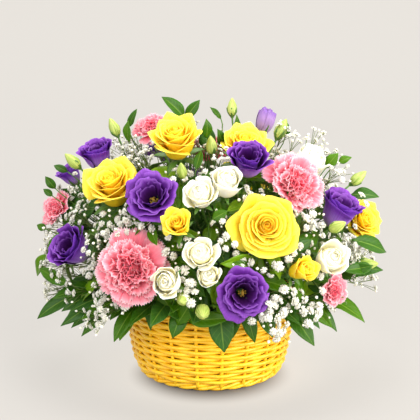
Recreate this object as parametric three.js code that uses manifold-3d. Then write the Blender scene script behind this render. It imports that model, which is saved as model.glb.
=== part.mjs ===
// A wicker basket of cut flowers: yellow roses, pink carnations, purple lisianthus, white and yellow
// spray roses, baby's breath and pointed green leaves, standing in a block of floral foam in a lined basket.
// Millimetres, +Z up, origin on the table under the middle of the basket, front of the arrangement at -Y.
import * as THREE from 'three';
import { mergeVertices } from 'three/addons/utils/BufferGeometryUtils.js';
import Module from 'manifold-3d';

const wasm = await Module();
wasm.setup();
const Vec = THREE.Vector3;
const rad = THREE.MathUtils.degToRad;
const deg = THREE.MathUtils.radToDeg;

// Basket, liner and foam
const basket = { rimRadius: 97, footRadius: 81, height: 86, wall: 6, floor: 5, stakes: 32, rows: 7,
  flare: 0.7, weaveDepth: 1.5, grooveDepth: 1.6, rimBorder: 4.6, footBorder: 4.4, strands: 8, twist: 0.14 };
const liner = { wall: 1.2, fit: 1.4, below: 8, sides: 16 };
const foam = { radius: 60, top: 126, chamfer: 16, sides: 16 };
const seatGap = 0.3; // between pieces that rest on each other
const clearance = 0.35; // left between one plant and the next, and round a stem in its hole

// Stems. All of them aim at one point inside the foam, and each stands in a hole of its own.
const heart = new Vec(0, 0, 84);
const stemStart = 22; // from that point to a stem's cut end
const foamExit = 62; // a stem runs straight at least this far from that point
const holeSpare = 0.6; // how much deeper a hole is than its stem
const holeReach = 100; // past the foam's surface on every side
const stemSides = 4;
const branchSides = 3;
const forkStep = 3; // between the places where branches leave one stem
const stemRadius = { rose: 2.0, carnation: 1.8, spray: 1.8, leafy: 1.7, branch: 1.3, budStalk: 1.1, twig: 1.3,
  twigEnd: 0.8, gypsophila: 1.3 };

const finishes = {
  wicker: { color: 0xf2bd1d, roughness: 0.45 },
  liner: { color: 0x2c3a2a, roughness: 0.4 },
  foam: { color: 0x2f5a35, roughness: 0.95 },
  yellow: { color: 0xfbd42a, roughness: 0.6 },
  pink: { color: 0xf28a9b, roughness: 0.7 },
  purple: { color: 0x5b2a9c, roughness: 0.6 },
  lilac: { color: 0xa98bc9, roughness: 0.6 },
  white: { color: 0xf6f2dc, roughness: 0.6 },
  leaf: { color: 0x3f7d22, roughness: 0.5 },
  bud: { color: 0x9dbb4a, roughness: 0.55 },
  gypsophila: { color: 0xeeeee2, roughness: 0.7 },
};

// Blooms. at: bearing of the bloom's middle in degrees round from the front (right is plus), degrees above
// level, and mm from the heart. faces: the bearing it looks along. across: its width.
const roses = [
  { at: [27, 41, 167], faces: [12, 24], across: 76 },
  { at: [-63, 50, 182], faces: [-28, 45], across: 64 },
  { at: [-38, 73, 197], faces: [-15, 62], across: 62 },
  { at: [82, 78, 180], faces: [20, 62], across: 58 },
  { at: [93, 24, 186], faces: [80, 22], across: 46 },
  { at: [160, 38, 170], faces: [160, 32], across: 66 },
  { at: [-142, 30, 172], faces: [-142, 26], across: 64 },
];
const sprayRoses = [
  { at: [-15, 42, 168], faces: [-12, 42], across: 35 },
  { at: [39, 23, 160], faces: [42, 24], across: 37 },
];
const carnations = [
  { at: [-34, 25, 160], faces: [-16, 14], across: 78 },
  { at: [53.5, 52, 187], faces: [32, 38], across: 66 },
  { at: [180, 66, 178], faces: [180, 58], across: 64 },
  { at: [-90, 30, 200], faces: [-80, 26], across: 40, small: true },
  { at: [-94, 71, 203], faces: [-70, 62], across: 42, small: true },
  { at: [58, 11, 160], faces: [60, 8], across: 38, small: true },
];

// Sprays: one stem that forks, at a distance from the heart, into blooms and buds. A bud's size is its width.
const lisianthusSprays = [
  { stem: [-92, 47], fork: 96,
    blooms: [{ at: [-88, 53, 202], faces: [-88, 62], across: 42 },
      { at: [-98, 40, 205], faces: [-100, 36], across: 32 }],
    buds: [{ at: [-82, 45, 214], size: 13 }, { at: [-93, 61, 216], size: 13 }] },
  { stem: [-33, 52], fork: 96,
    blooms: [{ at: [-33, 51, 175], faces: [-10, 26], across: 54 }],
    buds: [{ at: [-20, 62, 182], size: 11 }] },
  { stem: [40, 70], fork: 90,
    blooms: [{ at: [32, 66, 184], faces: [18, 58], across: 50 }],
    buds: [{ at: [98, 68, 202], size: 17 }, { at: [2, 77, 184], size: 12 }] },
  { stem: [78, 36], fork: 90,
    blooms: [{ at: [76, 38, 180], faces: [76, 36], across: 46 }],
    buds: [{ at: [92, 39, 212], size: 15 }, { at: [62, 33, 184], size: 15 },
      { at: [81, 14, 178], size: 17 }] },
  { stem: [-68, 24], fork: 90, blooms: [{ at: [-68, 24, 173], faces: [-50, 30], across: 46 }], buds: [] },
  { stem: [14, 17], fork: 90, blooms: [{ at: [14, 18, 148], faces: [8, 14], across: 56 }], buds: [] },
  { stem: [-170, 30], fork: 90,
    blooms: [{ at: [-172, 32, 168], faces: [-172, 30], across: 54 },
      { at: [-148, 58, 176], faces: [-148, 54], across: 50 }],
    buds: [{ at: [-165, 47, 196], size: 14 }] },
];
const lilacSpray = { stem: [138, 66], fork: 130, blooms: [],
  buds: [{ at: [122, 69, 209], size: 22 }, { at: [151, 76, 212], size: 13 }] };
const whiteSprays = [
  { stem: [2, 57], fork: 92,
    blooms: [{ at: [-6, 54, 174], faces: [-6, 46], across: 40 },
      { at: [10, 59, 178], faces: [14, 52], across: 34 }],
    buds: [] },
  { stem: [-9, 28], fork: 88,
    blooms: [{ at: [-4, 33, 161], faces: [-4, 30], across: 40 },
      { at: [-16, 22, 165], faces: [-14, 20], across: 31 },
      { at: [-1, 25, 151], faces: [4, 34], across: 26 }],
    buds: [{ at: [-11, 16, 148], size: 11 }, { at: [-3, 11, 145], size: 13 }] },
  { stem: [66, 27], fork: 88,
    blooms: [{ at: [87, 54, 190], faces: [80, 48], across: 40 },
      { at: [54, 25, 168], faces: [56, 24], across: 40 }],
    buds: [] },
  { stem: [-122, 40], fork: 90,
    blooms: [{ at: [-122, 45, 178], faces: [-122, 42], across: 38 },
      { at: [-108, 20, 178], faces: [-108, 18], across: 36 }],
    buds: [] },
];

// Leafy branches. Each twig has the bearing and distance of its end, how far that end hangs below its
// bearing, and its leaves. The twigs of the collar are led over the rim first.
const leafyBranches = [
  { name: 'front_left', stem: [-50, 9], collar: true,
    twigs: [{ to: [-80, 9, 158], hang: 26, leaves: 4 }, { to: [-64, 7, 150], hang: 30, leaves: 4 },
      { to: [-45, 8, 132], hang: 34, leaves: 3 }] },
  { name: 'front', stem: [2, 6], collar: true,
    twigs: [{ to: [-24, 9, 122], hang: 26, leaves: 3 }, { to: [-12, 8, 120], hang: 24, leaves: 3 },
      { to: [5, 7, 118], hang: 30, leaves: 3 }, { to: [22, 8, 120], hang: 26, leaves: 3 }] },
  { name: 'front_right', stem: [40, 8], collar: true,
    twigs: [{ to: [36, 8, 124], hang: 26, leaves: 3 }, { to: [50, 6, 142], hang: 34, leaves: 3 },
      { to: [73, 7, 150], hang: 26, leaves: 4 }] },
  { name: 'right', stem: [98, 10], collar: true,
    twigs: [{ to: [90, 14, 164], hang: 16, leaves: 3 }, { to: [108, 10, 156], hang: 26, leaves: 4 },
      { to: [126, 9, 150], hang: 30, leaves: 3 }, { to: [94, 46, 184], hang: 0, leaves: 2 }] },
  { name: 'left', stem: [-104, 14], collar: true,
    twigs: [{ to: [-96, 16, 166], hang: 16, leaves: 3 }, { to: [-112, 12, 158], hang: 26, leaves: 3 },
      { to: [-130, 9, 150], hang: 30, leaves: 3 }, { to: [-98, 32, 176], hang: 4, leaves: 2 }] },
  { name: 'back', stem: [168, 9], collar: true,
    twigs: [{ to: [146, 8, 148], hang: 30, leaves: 3 }, { to: [166, 8, 146], hang: 28, leaves: 3 },
      { to: [-172, 8, 146], hang: 30, leaves: 3 }, { to: [-152, 9, 148], hang: 28, leaves: 3 }] },
  { name: 'crown', stem: [-142, 62],
    twigs: [{ to: [-112, 76, 196], hang: 0, leaves: 2 }, { to: [-60, 87, 188], hang: 0, leaves: 2 },
      { to: [170, 78, 190], hang: 0, leaves: 3 }, { to: [-106, 66, 190], hang: 0, leaves: 2 }] },
];
const collar = { radius: 97, height: 102 }; // the point that leads a collar twig over the rim
// outline: how wide the leaf is, as a share of its width, at two shares of its length
const leafShape = { length: 38, width: 17, thickness: 1.4, fold: 0.25, arch: 0.12,
  outline: [[0.26, 0.86], [0.62, 0.84]] };
const leafyHabit = { fork: 73, spread: 48, stretch: 0.62, smaller: 0.07, bow: 0.62 };

// Baby's breath: each spray's stem, and the slice round the arrangement that its florets fill.
const gypsophilaSprays = [
  { name: 'left', stem: [-54, 40], from: -125, to: -50 },
  { name: 'front', stem: [12, 38], from: -50, to: 22 },
  { name: 'right', stem: [96, 48], from: 22, to: 100 },
  { name: 'back', stem: [128, 36], from: 100, to: 235 },
];
const gypsophilaHabit = { fork: 84, lowest: 14, highest: 80, branches: 4, branchReach: 146, branchRadius: 1.1,
  longest: 120, florets: 3, floretReach: 172, floretSpread: 9, places: 240, turns: 16 };
const floret = { width: 9, height: 3.6, stalk: 0.75, sides: 4 };
const goldenAngle = 180 * (3 - Math.sqrt(5));

// Rows of petals, from the heart outwards. count: petals in the row, with turn as the share of a petal that
// the row is turned by. reach and rise: the row's radius and height as shares of the bloom's. notch: how far
// the edge drops between two petals. groove: the height of the dip inside the row. point and ruffle shape
// the edge.
const roseForm = { segments: 15, heart: 0.78, base: 0.26, rows: [
  { count: 3, turn: 0.5, reach: 0.26, rise: 1.0, notch: 0.1 },
  { count: 4, turn: 0.1, reach: 0.5, rise: 0.97, notch: 0.14, groove: 0.62, point: 0.03 },
  { count: 5, turn: 0.5, reach: 0.74, rise: 0.86, notch: 0.22, groove: 0.54 },
  { count: 5, turn: 0, reach: 0.92, rise: 0.62, notch: 0.24, groove: 0.48, point: 0.12 },
] };
const sprayRoseForm = { segments: 8, heart: 0.84, base: 0.3, rows: [
  { count: 3, turn: 0.2, reach: 0.3, rise: 1.0, notch: 0.08 },
  { count: 4, turn: 0.5, reach: 0.62, rise: 0.94, notch: 0.16, groove: 0.62, point: 0.02 },
  { count: 4, turn: 0, reach: 0.95, rise: 0.68, notch: 0.22, groove: 0.5, point: 0.05 },
] };
// A stout pistil stands in the cup of broad petals.
const lisianthusForm = { segments: 12, heart: 0.56, base: 0.24, rows: [
  { count: 1, turn: 0, reach: 0.12, rise: 0.5, notch: 0 },
  { count: 6, turn: 0.5, reach: 0.56, rise: 0.95, notch: 0.18, groove: 0.2 },
  { count: 6, turn: 0, reach: 0.97, rise: 0.78, notch: 0.16, groove: 0.58 },
] };
const carnationForm = { segments: 20, heart: 0.86, base: 0.18, rows: [
  { count: 3, turn: 0.1, reach: 0.2, rise: 1.0, notch: 0.06, ruffle: 0.05 },
  { count: 5, turn: 0.5, reach: 0.46, rise: 0.97, notch: 0.08, groove: 0.74, ruffle: 0.06 },
  { count: 5, turn: 0, reach: 0.72, rise: 0.84, notch: 0.1, groove: 0.62, ruffle: 0.06 },
  { count: 6, turn: 0.5, reach: 0.98, rise: 0.62, notch: 0.1, groove: 0.58, ruffle: 0.06 },
] };
const smallCarnationForm = { ...carnationForm, segments: 16,
  rows: carnationForm.rows.slice(1).map((row) => ({ ...row, count: 4 })) };
const roseHeight = 0.7; // of a rose's or a lisianthus' width
const carnationHeight = 0.58;
const bloomMiddle = 0.6; // where a bloom's middle lies, as a share of its height above its base
const budSlimness = 1.75; // a bud's length as a share of its width
const hipDepth = { rose: 11, sprayRose: 8, carnation: 17, smallCarnation: 10, lisianthus: 7 };
const stemSunk = 2; // how far a stem runs into the hip above it

// Solids
function solidOf(geometry, matrix) {
  const loose = geometry.index ? geometry.toNonIndexed() : geometry;
  const bare = new THREE.BufferGeometry();
  bare.setAttribute('position', loose.getAttribute('position').clone());
  if (matrix) bare.applyMatrix4(matrix);
  const merged = mergeVertices(bare, 1e-3);
  const kept = [];
  for (let i = 0; i < merged.index.count; i += 3) {
    const [a, b, c] = [0, 1, 2].map((k) => merged.index.getX(i + k));
    if (a !== b && b !== c && c !== a) kept.push(a, b, c);
  }
  return new wasm.Manifold(new wasm.Mesh({ numProp: 3,
    vertProperties: new Float32Array(merged.attributes.position.array), triVerts: new Uint32Array(kept) }));
}

function geometryOf(solid) {
  const mesh = solid.getMesh();
  const geometry = new THREE.BufferGeometry();
  const places = new Float32Array(mesh.vertProperties);
  geometry.setAttribute('position', new THREE.BufferAttribute(places, mesh.numProp));
  geometry.setIndex(new THREE.BufferAttribute(new Uint32Array(mesh.triVerts), 1));
  geometry.computeVertexNormals();
  return geometry;
}

const joined = (solids) => solids.reduce((all, one) => all.add(one));

// A solid closed by its faces, each given by its corners counterclockwise as seen from outside.
function closed(faces) {
  const corners = faces.flatMap((face) => face.slice(2).flatMap((p, k) => [face[0], face[k + 1], p]));
  const geometry = new THREE.BufferGeometry();
  geometry.setAttribute('position', new THREE.Float32BufferAttribute(corners.flatMap((p) => p.toArray()), 3));
  return solidOf(geometry);
}

// A closed surface of rings between two points on +Z. Each ring gives [radius, height] at an angle round it.
function ringed(start, rings, end, segments) {
  const loops = rings.map((ring) => Array.from({ length: segments }, (_, k) => {
    const angle = (2 * Math.PI * k) / segments;
    const [radius, height] = ring(angle);
    return new Vec(radius * Math.cos(angle), radius * Math.sin(angle), height);
  }));
  const last = loops[loops.length - 1];
  const faces = [];
  for (let k = 0; k < segments; k++) {
    const next = (k + 1) % segments;
    faces.push([new Vec(0, 0, start), loops[0][k], loops[0][next]]);
    for (let j = 0; j + 1 < loops.length; j++) {
      faces.push([loops[j][k], loops[j + 1][k], loops[j][next]]);
      faces.push([loops[j][next], loops[j + 1][k], loops[j + 1][next]]);
    }
    faces.push([new Vec(0, 0, end), last[next], last[k]]);
  }
  return closed(faces);
}

// A tube through a few points, thinning from one radius to another. Its corners start on the same side for
// every tube that leaves in the same direction, so a stem lines up with its hole.
function tube(points, radius, sides, endRadius = radius) {
  const last = points.length - 1;
  const ways = points.map((p, k) => {
    const [before, after] = [points[Math.max(k - 1, 0)], points[Math.min(k + 1, last)]];
    return after.clone().sub(before).normalize();
  });
  let side = new Vec(0.31, 0.23, 0.92).cross(ways[0]);
  const rings = points.map((p, k) => {
    side = side.clone().addScaledVector(ways[k], -side.dot(ways[k])).normalize();
    const other = ways[k].clone().cross(side);
    const reach = THREE.MathUtils.lerp(radius, endRadius, k / last);
    return Array.from({ length: sides }, (_, i) => p.clone()
      .addScaledVector(side, reach * Math.cos((2 * Math.PI * i) / sides))
      .addScaledVector(other, reach * Math.sin((2 * Math.PI * i) / sides)));
  });
  const faces = [[...rings[0]].reverse(), rings[last]];
  for (let i = 0; i < sides; i++) {
    const next = (i + 1) % sides;
    for (let k = 0; k < last; k++) {
      faces.push([rings[k][i], rings[k][next], rings[k + 1][next], rings[k + 1][i]]);
    }
  }
  return closed(faces);
}

function turned(profile, sides, matrix) {
  const outline = profile.map(([radius, height]) => new THREE.Vector2(radius, height));
  return solidOf(new THREE.LatheGeometry(outline, sides).rotateX(Math.PI / 2), matrix);
}

// Bearings and places
const bearing = ([round, above]) => new Vec(Math.sin(rad(round)) * Math.cos(rad(above)),
  -Math.cos(rad(round)) * Math.cos(rad(above)), Math.sin(rad(above)));
const along = (way, reach) => heart.clone().addScaledVector(way, reach);
const spot = ([round, above, reach]) => along(bearing([round, above]), reach);
const moved = (point, way, distance) => point.clone().addScaledVector(way, distance);
const bearingOf = (point) => {
  const way = point.clone().sub(heart).normalize();
  return [deg(Math.atan2(way.x, -way.y)), deg(Math.asin(way.z))];
};

// The matrix that stands +Z along a direction at a base point, turned round it by spin degrees.
function stand(base, way, spin = 0) {
  const turn = new THREE.Quaternion().setFromUnitVectors(new Vec(0, 0, 1), way);
  turn.multiply(new THREE.Quaternion().setFromAxisAngle(new Vec(0, 0, 1), rad(spin)));
  return new THREE.Matrix4().compose(base, turn, new Vec(1, 1, 1));
}

// Where a bloom's base lies for its middle to be at its place.
function seated(bloom, heightShare) {
  const height = bloom.across * heightShare;
  const facing = bearing(bloom.faces);
  const base = moved(spot(bloom.at), facing, -height * bloomMiddle);
  const matrix = stand(base, facing, bloom.at[0] * 7);
  return { ...bloom, radius: bloom.across / 2, height, facing, base, matrix };
}

// The basket
const basketRadius = (z) => basket.footRadius
  + (basket.rimRadius - basket.footRadius) * Math.pow(z / basket.height, basket.flare);
const basketInside = (z) => basketRadius(z) - basket.wall;

// A twisted border: rings round a circular section whose thickness swings on its way round the basket.
function borderRings(middle, height, thickness, angles) {
  return angles.map((angle) => (round) => {
    const bulge = thickness * (1 + basket.twist * Math.cos(2 * rad(angle) - basket.strands * round));
    return [middle + bulge * Math.cos(rad(angle)), height + bulge * Math.sin(rad(angle))];
  });
}

// Rows of weavers from the top down, each passing in front of one stake and behind the next.
function weaveRings() {
  const lowest = basket.footBorder * 1.9;
  const pitch = (basket.height - basket.rimBorder - lowest) / basket.rows;
  const rings = [];
  for (let row = basket.rows - 1; row >= 0; row--) {
    const crest = lowest + (row + 0.5) * pitch;
    const groove = lowest + row * pitch;
    const weave = (round) => basket.weaveDepth * Math.cos((basket.stakes / 2) * round + row * Math.PI);
    rings.push((round) => [basketRadius(crest) + weave(round), crest]);
    if (row > 0) rings.push(() => [basketRadius(groove) - basket.grooveDepth, groove]);
  }
  return rings;
}

function basketSolid() {
  const { footRadius, rimRadius, height, rimBorder, footBorder, floor } = basket;
  const wallTop = height - rimBorder;
  const rings = [() => [basketInside(floor), floor], () => [basketInside(wallTop), wallTop],
    ...borderRings(rimRadius - rimBorder, height, rimBorder, [165, 80, -10]), ...weaveRings(),
    ...borderRings(footRadius - footBorder + 1, footBorder, footBorder, [55, -30]),
    () => [footRadius - footBorder - 1, 0]];
  return ringed(floor, rings, 0, basket.stakes);
}

function linerSolid() {
  const bottom = basket.floor + seatGap;
  const top = basket.height - liner.below;
  const outside = (z) => basketInside(z) - liner.fit;
  return turned([[0, bottom], [outside(bottom), bottom], [outside(top), top],
    [outside(top) - liner.wall, top], [outside(bottom) - liner.wall, bottom + liner.wall],
    [0, bottom + liner.wall]], liner.sides);
}

// The block of foam, its top edge worn round, with a plain hole for every stem.
function foamSolid(roots) {
  const bottom = basket.floor + seatGap + liner.wall + seatGap;
  const { radius, top, chamfer, sides } = foam;
  const block = turned([[0, bottom], [radius, bottom], [radius, top - chamfer * 1.4],
    [radius - chamfer * 0.45, top - chamfer * 0.45], [radius - chamfer * 1.5, top], [0, top]], sides);
  return roots.reduce((left, root) => left.subtract(holeFor(root)), block);
}

function holeFor({ stem, radius }) {
  const bore = radius + clearance / Math.cos(Math.PI / stemSides);
  const way = bearing(stem);
  return tube([along(way, stemStart - holeSpare), along(way, holeReach)], bore, stemSides);
}

// Blooms, each made with its base at the origin, looking along +Z
function petalEdge({ count, turn, reach, rise, notch, point = 0, ruffle = 0 }, radius, height) {
  return (angle) => {
    const petal = (count * angle) / (2 * Math.PI) + turn;
    const side = Math.abs(2 * (petal - Math.floor(petal)) - 1); // 0 in the middle of a petal, 1 between two
    const flutter = ruffle * Math.cos(angle * count * 2.5 + turn);
    const outward = reach * (1 - 0.1 * side * side) + point * (1 - side) ** 2 + flutter / 2;
    return [radius * outward, height * (rise - notch * side ** 1.6 + flutter)];
  };
}

// Rows of petals with a groove between each two. A bloom that is one solid with its stem runs on into its
// hip.
function bloomSolid(form, bloom, hip = 0) {
  const { radius, height, matrix } = bloom;
  const rings = [];
  form.rows.forEach((row, k) => {
    if (k > 0) {
      const between = THREE.MathUtils.lerp(form.rows[k - 1].reach, row.reach, 0.55) * 0.93;
      rings.push(() => [between * radius, row.groove * height]);
    }
    rings.push(petalEdge(row, radius, height));
  });
  rings.push(() => [form.base * radius, 0]);
  return ringed(form.heart * height, rings, -hip, form.segments).transform(matrix.elements);
}

// A closed bud: a spindle that is thickest a third of the way up.
const budSolid = (size, matrix) => turned([[0, -1], [size * 0.5, size * budSlimness * 0.36],
  [size * 0.34, size * budSlimness * 0.72], [0, size * budSlimness]], 5, matrix);

// The hip under a bloom, its flat top just below the bloom's base, with sepals leaning out where it has them.
function hipSolid({ top, depth, sepals, reach, drop }, matrix) {
  const leaning = (angle) => {
    const sepal = (sepals * angle) / (2 * Math.PI);
    const side = Math.abs(2 * (sepal - Math.floor(sepal)) - 1);
    return side < 0.5 ? [reach, -drop] : [top * 1.04, -depth * 0.2];
  };
  const rings = [() => [top, -seatGap], sepals ? leaning : () => [top * 0.9, -depth * 0.5]];
  return ringed(-seatGap, rings, -depth, sepals ? sepals * 2 : 5).transform(matrix.elements);
}

// Assembly
const arrangement = new THREE.Group();
const standing = []; // what is placed already, which later leaves and florets stay clear of
const roots = []; // the bearing and radius of each stem in the foam

function show(name, solid, finish) {
  const mesh = new THREE.Mesh(geometryOf(solid), new THREE.MeshStandardMaterial({ metalness: 0, ...finish }));
  mesh.name = name;
  arrangement.add(mesh);
  standing.push({ solid, box: solid.boundingBox() });
}

const boxesMeet = (a, b) => [0, 1, 2].every((k) => a.min[k] <= b.max[k] && b.min[k] <= a.max[k]);
const misses = (solid, others) => others.every((other) => solid.intersect(other).isEmpty());
function isClear(solid) {
  const box = solid.boundingBox();
  return misses(solid, standing.filter((other) => boxesMeet(box, other.box)).map((other) => other.solid));
}

const curved = (from, leave, arrive, to, steps) =>
  new THREE.CubicBezierCurve3(from, leave, arrive, to).getPoints(steps);

// A stem straight out of the foam, then bending to meet its bloom's hip along the way the bloom faces.
function stemOf(bloom, depth, radius) {
  const top = moved(bloom.base, bloom.facing, stemSunk - depth);
  const stem = bearingOf(top);
  const way = bearing(stem);
  const out = along(way, foamExit);
  const pull = top.distanceTo(out) * 0.4;
  const bend = curved(out, moved(out, way, pull), moved(top, bloom.facing, -pull), top, 3);
  roots.push({ stem, radius });
  return tube([along(way, stemStart), ...bend], radius, stemSides);
}

function standRoses() {
  roses.forEach((rose, k) => {
    const bloom = seated(rose, roseHeight);
    const hip = { top: bloom.radius * roseForm.base * 0.85, depth: hipDepth.rose, sepals: 5,
      reach: bloom.radius * 0.55, drop: 5 };
    const stem = stemOf(bloom, hip.depth, stemRadius.rose);
    show(`yellow_rose_${k + 1}_petals`, bloomSolid(roseForm, bloom), finishes.yellow);
    show(`yellow_rose_${k + 1}_stem`, hipSolid(hip, bloom.matrix).add(stem), finishes.leaf);
  });
  sprayRoses.forEach((rose, k) => {
    const bloom = seated(rose, roseHeight);
    const stem = stemOf(bloom, hipDepth.sprayRose, stemRadius.spray);
    const head = bloomSolid(sprayRoseForm, bloom, hipDepth.sprayRose);
    show(`yellow_spray_rose_${k + 1}`, head.add(stem), finishes.yellow);
  });
}

function standCarnations() {
  carnations.forEach((carnation, k) => {
    const bloom = seated(carnation, carnationHeight);
    if (carnation.small) {
      const stem = stemOf(bloom, hipDepth.smallCarnation, stemRadius.carnation);
      const head = bloomSolid(smallCarnationForm, bloom, hipDepth.smallCarnation);
      show(`carnation_${k + 1}`, head.add(stem), finishes.pink);
      return;
    }
    const hip = { top: bloom.radius * carnationForm.base * 0.9, depth: hipDepth.carnation };
    const stem = stemOf(bloom, hip.depth, stemRadius.carnation);
    show(`carnation_${k + 1}_petals`, bloomSolid(carnationForm, bloom), finishes.pink);
    show(`carnation_${k + 1}_stem`, hipSolid(hip, bloom.matrix).add(stem), finishes.leaf);
  });
}

// A spray's stem, with a branch from near its upper end to each bloom and bud. Blooms that are one solid with
// the spray bring their own hips.
function sprayStem(spray, blooms, depth, ownHips) {
  const way = bearing(spray.stem);
  const fork = along(way, spray.fork);
  roots.push({ stem: spray.stem, radius: stemRadius.spray });
  const parts = [tube([along(way, stemStart), fork], stemRadius.spray, stemSides)];
  const branch = (to, facing, radius) => {
    const from = moved(fork, way, -1 - forkStep * (parts.length - 1));
    const span = to.distanceTo(from);
    const bend = curved(from, moved(from, way, span * 0.3), moved(to, facing, -span * 0.35), to, 2);
    return tube(bend, radius, branchSides);
  };
  for (const bloom of blooms) {
    const limb = branch(moved(bloom.base, bloom.facing, stemSunk - depth), bloom.facing, stemRadius.branch);
    const hip = { top: bloom.radius * lisianthusForm.base * 0.9, depth };
    parts.push(ownHips ? limb : limb.add(hipSolid(hip, bloom.matrix)));
  }
  for (const bud of spray.buds) {
    const middle = spot(bud.at);
    const facing = middle.clone().sub(fork).normalize().lerp(bearing(bud.at), 0.5).normalize();
    const base = moved(middle, facing, (-bud.size * budSlimness) / 2);
    const limb = branch(moved(base, facing, stemSunk), facing, stemRadius.budStalk);
    parts.push(limb.add(budSolid(bud.size, stand(base, facing))));
  }
  return joined(parts);
}

function standLisianthus() {
  let number = 0;
  lisianthusSprays.forEach((spray, k) => {
    const blooms = spray.blooms.map((bloom) => seated(bloom, roseHeight));
    for (const bloom of blooms) {
      number += 1;
      show(`lisianthus_bloom_${number}`, bloomSolid(lisianthusForm, bloom), finishes.purple);
    }
    const stem = sprayStem(spray, blooms, hipDepth.lisianthus, false);
    show(`lisianthus_spray_${k + 1}_stem`, stem, finishes.bud);
  });
  show('lisianthus_lilac_buds', sprayStem(lilacSpray, [], 0, false), finishes.lilac);
}

function standWhiteSprays() {
  whiteSprays.forEach((spray, k) => {
    const blooms = spray.blooms.map((bloom) => seated(bloom, roseHeight));
    const heads = blooms.map((bloom) => bloomSolid(sprayRoseForm, bloom, hipDepth.sprayRose));
    const stem = sprayStem(spray, blooms, hipDepth.sprayRose, true);
    show(`white_spray_rose_${k + 1}`, joined([...heads, stem]), finishes.white);
  });
}

// A pointed leaf, arched along its length and folded up a little on both sides of its midrib. Its root point
// is sunk in the twig that it grows from. Both faces meet in its edge.
function leaf(root, way, up, length, width) {
  const side = way.clone().cross(up).normalize();
  const top = side.clone().cross(way).normalize();
  const place = (sideways, t, lift) => root.clone().addScaledVector(way, length * t)
    .addScaledVector(side, sideways)
    .addScaledVector(top, Math.abs(sideways) * leafShape.fold - length * leafShape.arch * t * t + lift);
  const half = leafShape.thickness / 2;
  const rows = leafShape.outline.map(([t, share]) => ({ left: place((-width / 2) * share, t, 0),
    right: place((width / 2) * share, t, 0), upper: place(0, t, half), lower: place(0, t, -half) }));
  const [start, tip, first, last] = [place(0, 0, 0), place(0, 1, 0), rows[0], rows[rows.length - 1]];
  const faces = [[start, first.right, first.upper], [start, first.upper, first.left],
    [start, first.lower, first.right], [start, first.left, first.lower],
    [tip, last.upper, last.right], [tip, last.left, last.upper],
    [tip, last.right, last.lower], [tip, last.lower, last.left]];
  rows.slice(1).forEach((b, k) => {
    const a = rows[k];
    faces.push([a.upper, a.right, b.right, b.upper], [a.left, a.upper, b.upper, b.left]);
    faces.push([a.right, a.lower, b.lower, b.right], [a.lower, a.left, b.left, b.lower]);
  });
  return closed(faces);
}

// The place at a share of a path's length, and the way onward there.
function onPath(path, share) {
  const lengths = path.slice(1).map((p, k) => p.distanceTo(path[k]));
  let left = share * lengths.reduce((sum, length) => sum + length, 0);
  let k = 0;
  while (k < lengths.length - 1 && left > lengths[k]) {
    left -= lengths[k];
    k += 1;
  }
  const onward = path[k + 1].clone().sub(path[k]).normalize();
  return { place: moved(path[k], onward, left), onward };
}

// Turns and lifts that are tried for a leaf, the wanted one first.
const leafTries = [[0, 0], [0, 14], [12, 0], [-12, 0], [0, -14], [16, 18], [-16, 18], [24, 8], [-24, 8],
  [0, 30], [30, 24], [-30, 24]];

// Leaves on a twig: one at its end and the others on both sides by turns, each clear of all that stands.
function leavesOn(path, count, near) {
  const grown = [];
  for (let k = 0; k < count; k++) {
    const { place, onward } = onPath(path, k === 0 ? 0.98 : 1 - (k / count) * leafyHabit.stretch);
    const flat = new Vec(0, 0, 1).cross(onward).normalize();
    const up = onward.clone().cross(flat);
    const side = k === 0 ? 0 : (k % 2 ? 1 : -1) * leafyHabit.spread;
    const scale = 1 - leafyHabit.smaller * k;
    const [length, width] = [leafShape.length * scale, leafShape.width * scale];
    for (const [turn, lift] of leafTries) {
      const way = onward.clone().applyAxisAngle(up, rad(side + turn)).applyAxisAngle(flat, rad(-lift));
      const guard = leaf(moved(place, way, 3), way, up, length, width + 2);
      if (isClear(guard) && misses(guard, [...near, ...grown.map((one) => one.guard)])) {
        grown.push({ guard, solid: leaf(place, way, up, length, width) });
        break;
      }
    }
  }
  return grown;
}

function standLeaves() {
  for (const branch of leafyBranches) {
    const way = bearing(branch.stem);
    const fork = along(way, leafyHabit.fork);
    roots.push({ stem: branch.stem, radius: stemRadius.leafy });
    const parts = [tube([along(way, stemStart), fork], stemRadius.leafy, stemSides)];
    const guards = [];
    branch.twigs.forEach(({ to: [round, above, reach], hang, leaves }, k) => {
      const from = moved(fork, way, -1 - forkStep * k);
      const over = branch.collar ? along(bearing([round, 0]), collar.radius).setZ(collar.height)
        : spot([round, above, reach * leafyHabit.bow]);
      const end = spot([round, above, reach]).add(new Vec(0, 0, -hang));
      const path = new THREE.QuadraticBezierCurve3(from, over, end).getPoints(3);
      const twig = tube(path, stemRadius.twig, branchSides, stemRadius.twigEnd);
      if (!isClear(twig)) return;
      const grown = leavesOn(path, leaves, guards);
      guards.push(...grown.map((one) => one.guard));
      parts.push(twig, ...grown.map((one) => one.solid));
    });
    show(`leafy_branch_${branch.name}`, joined(parts), finishes.leaf);
  }
}

// A stalk that opens at its end into one floret, a shallow cup with pointed corners.
function floretSolid(from, tip) {
  const length = tip.distanceTo(from);
  const rings = [() => [floret.width / 2, length + floret.height], () => [floret.stalk, length],
    () => [floret.stalk, 0]];
  return ringed(length + floret.height / 2, rings, 0, floret.sides)
    .transform(stand(from, tip.clone().sub(from).normalize()).elements);
}

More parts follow.
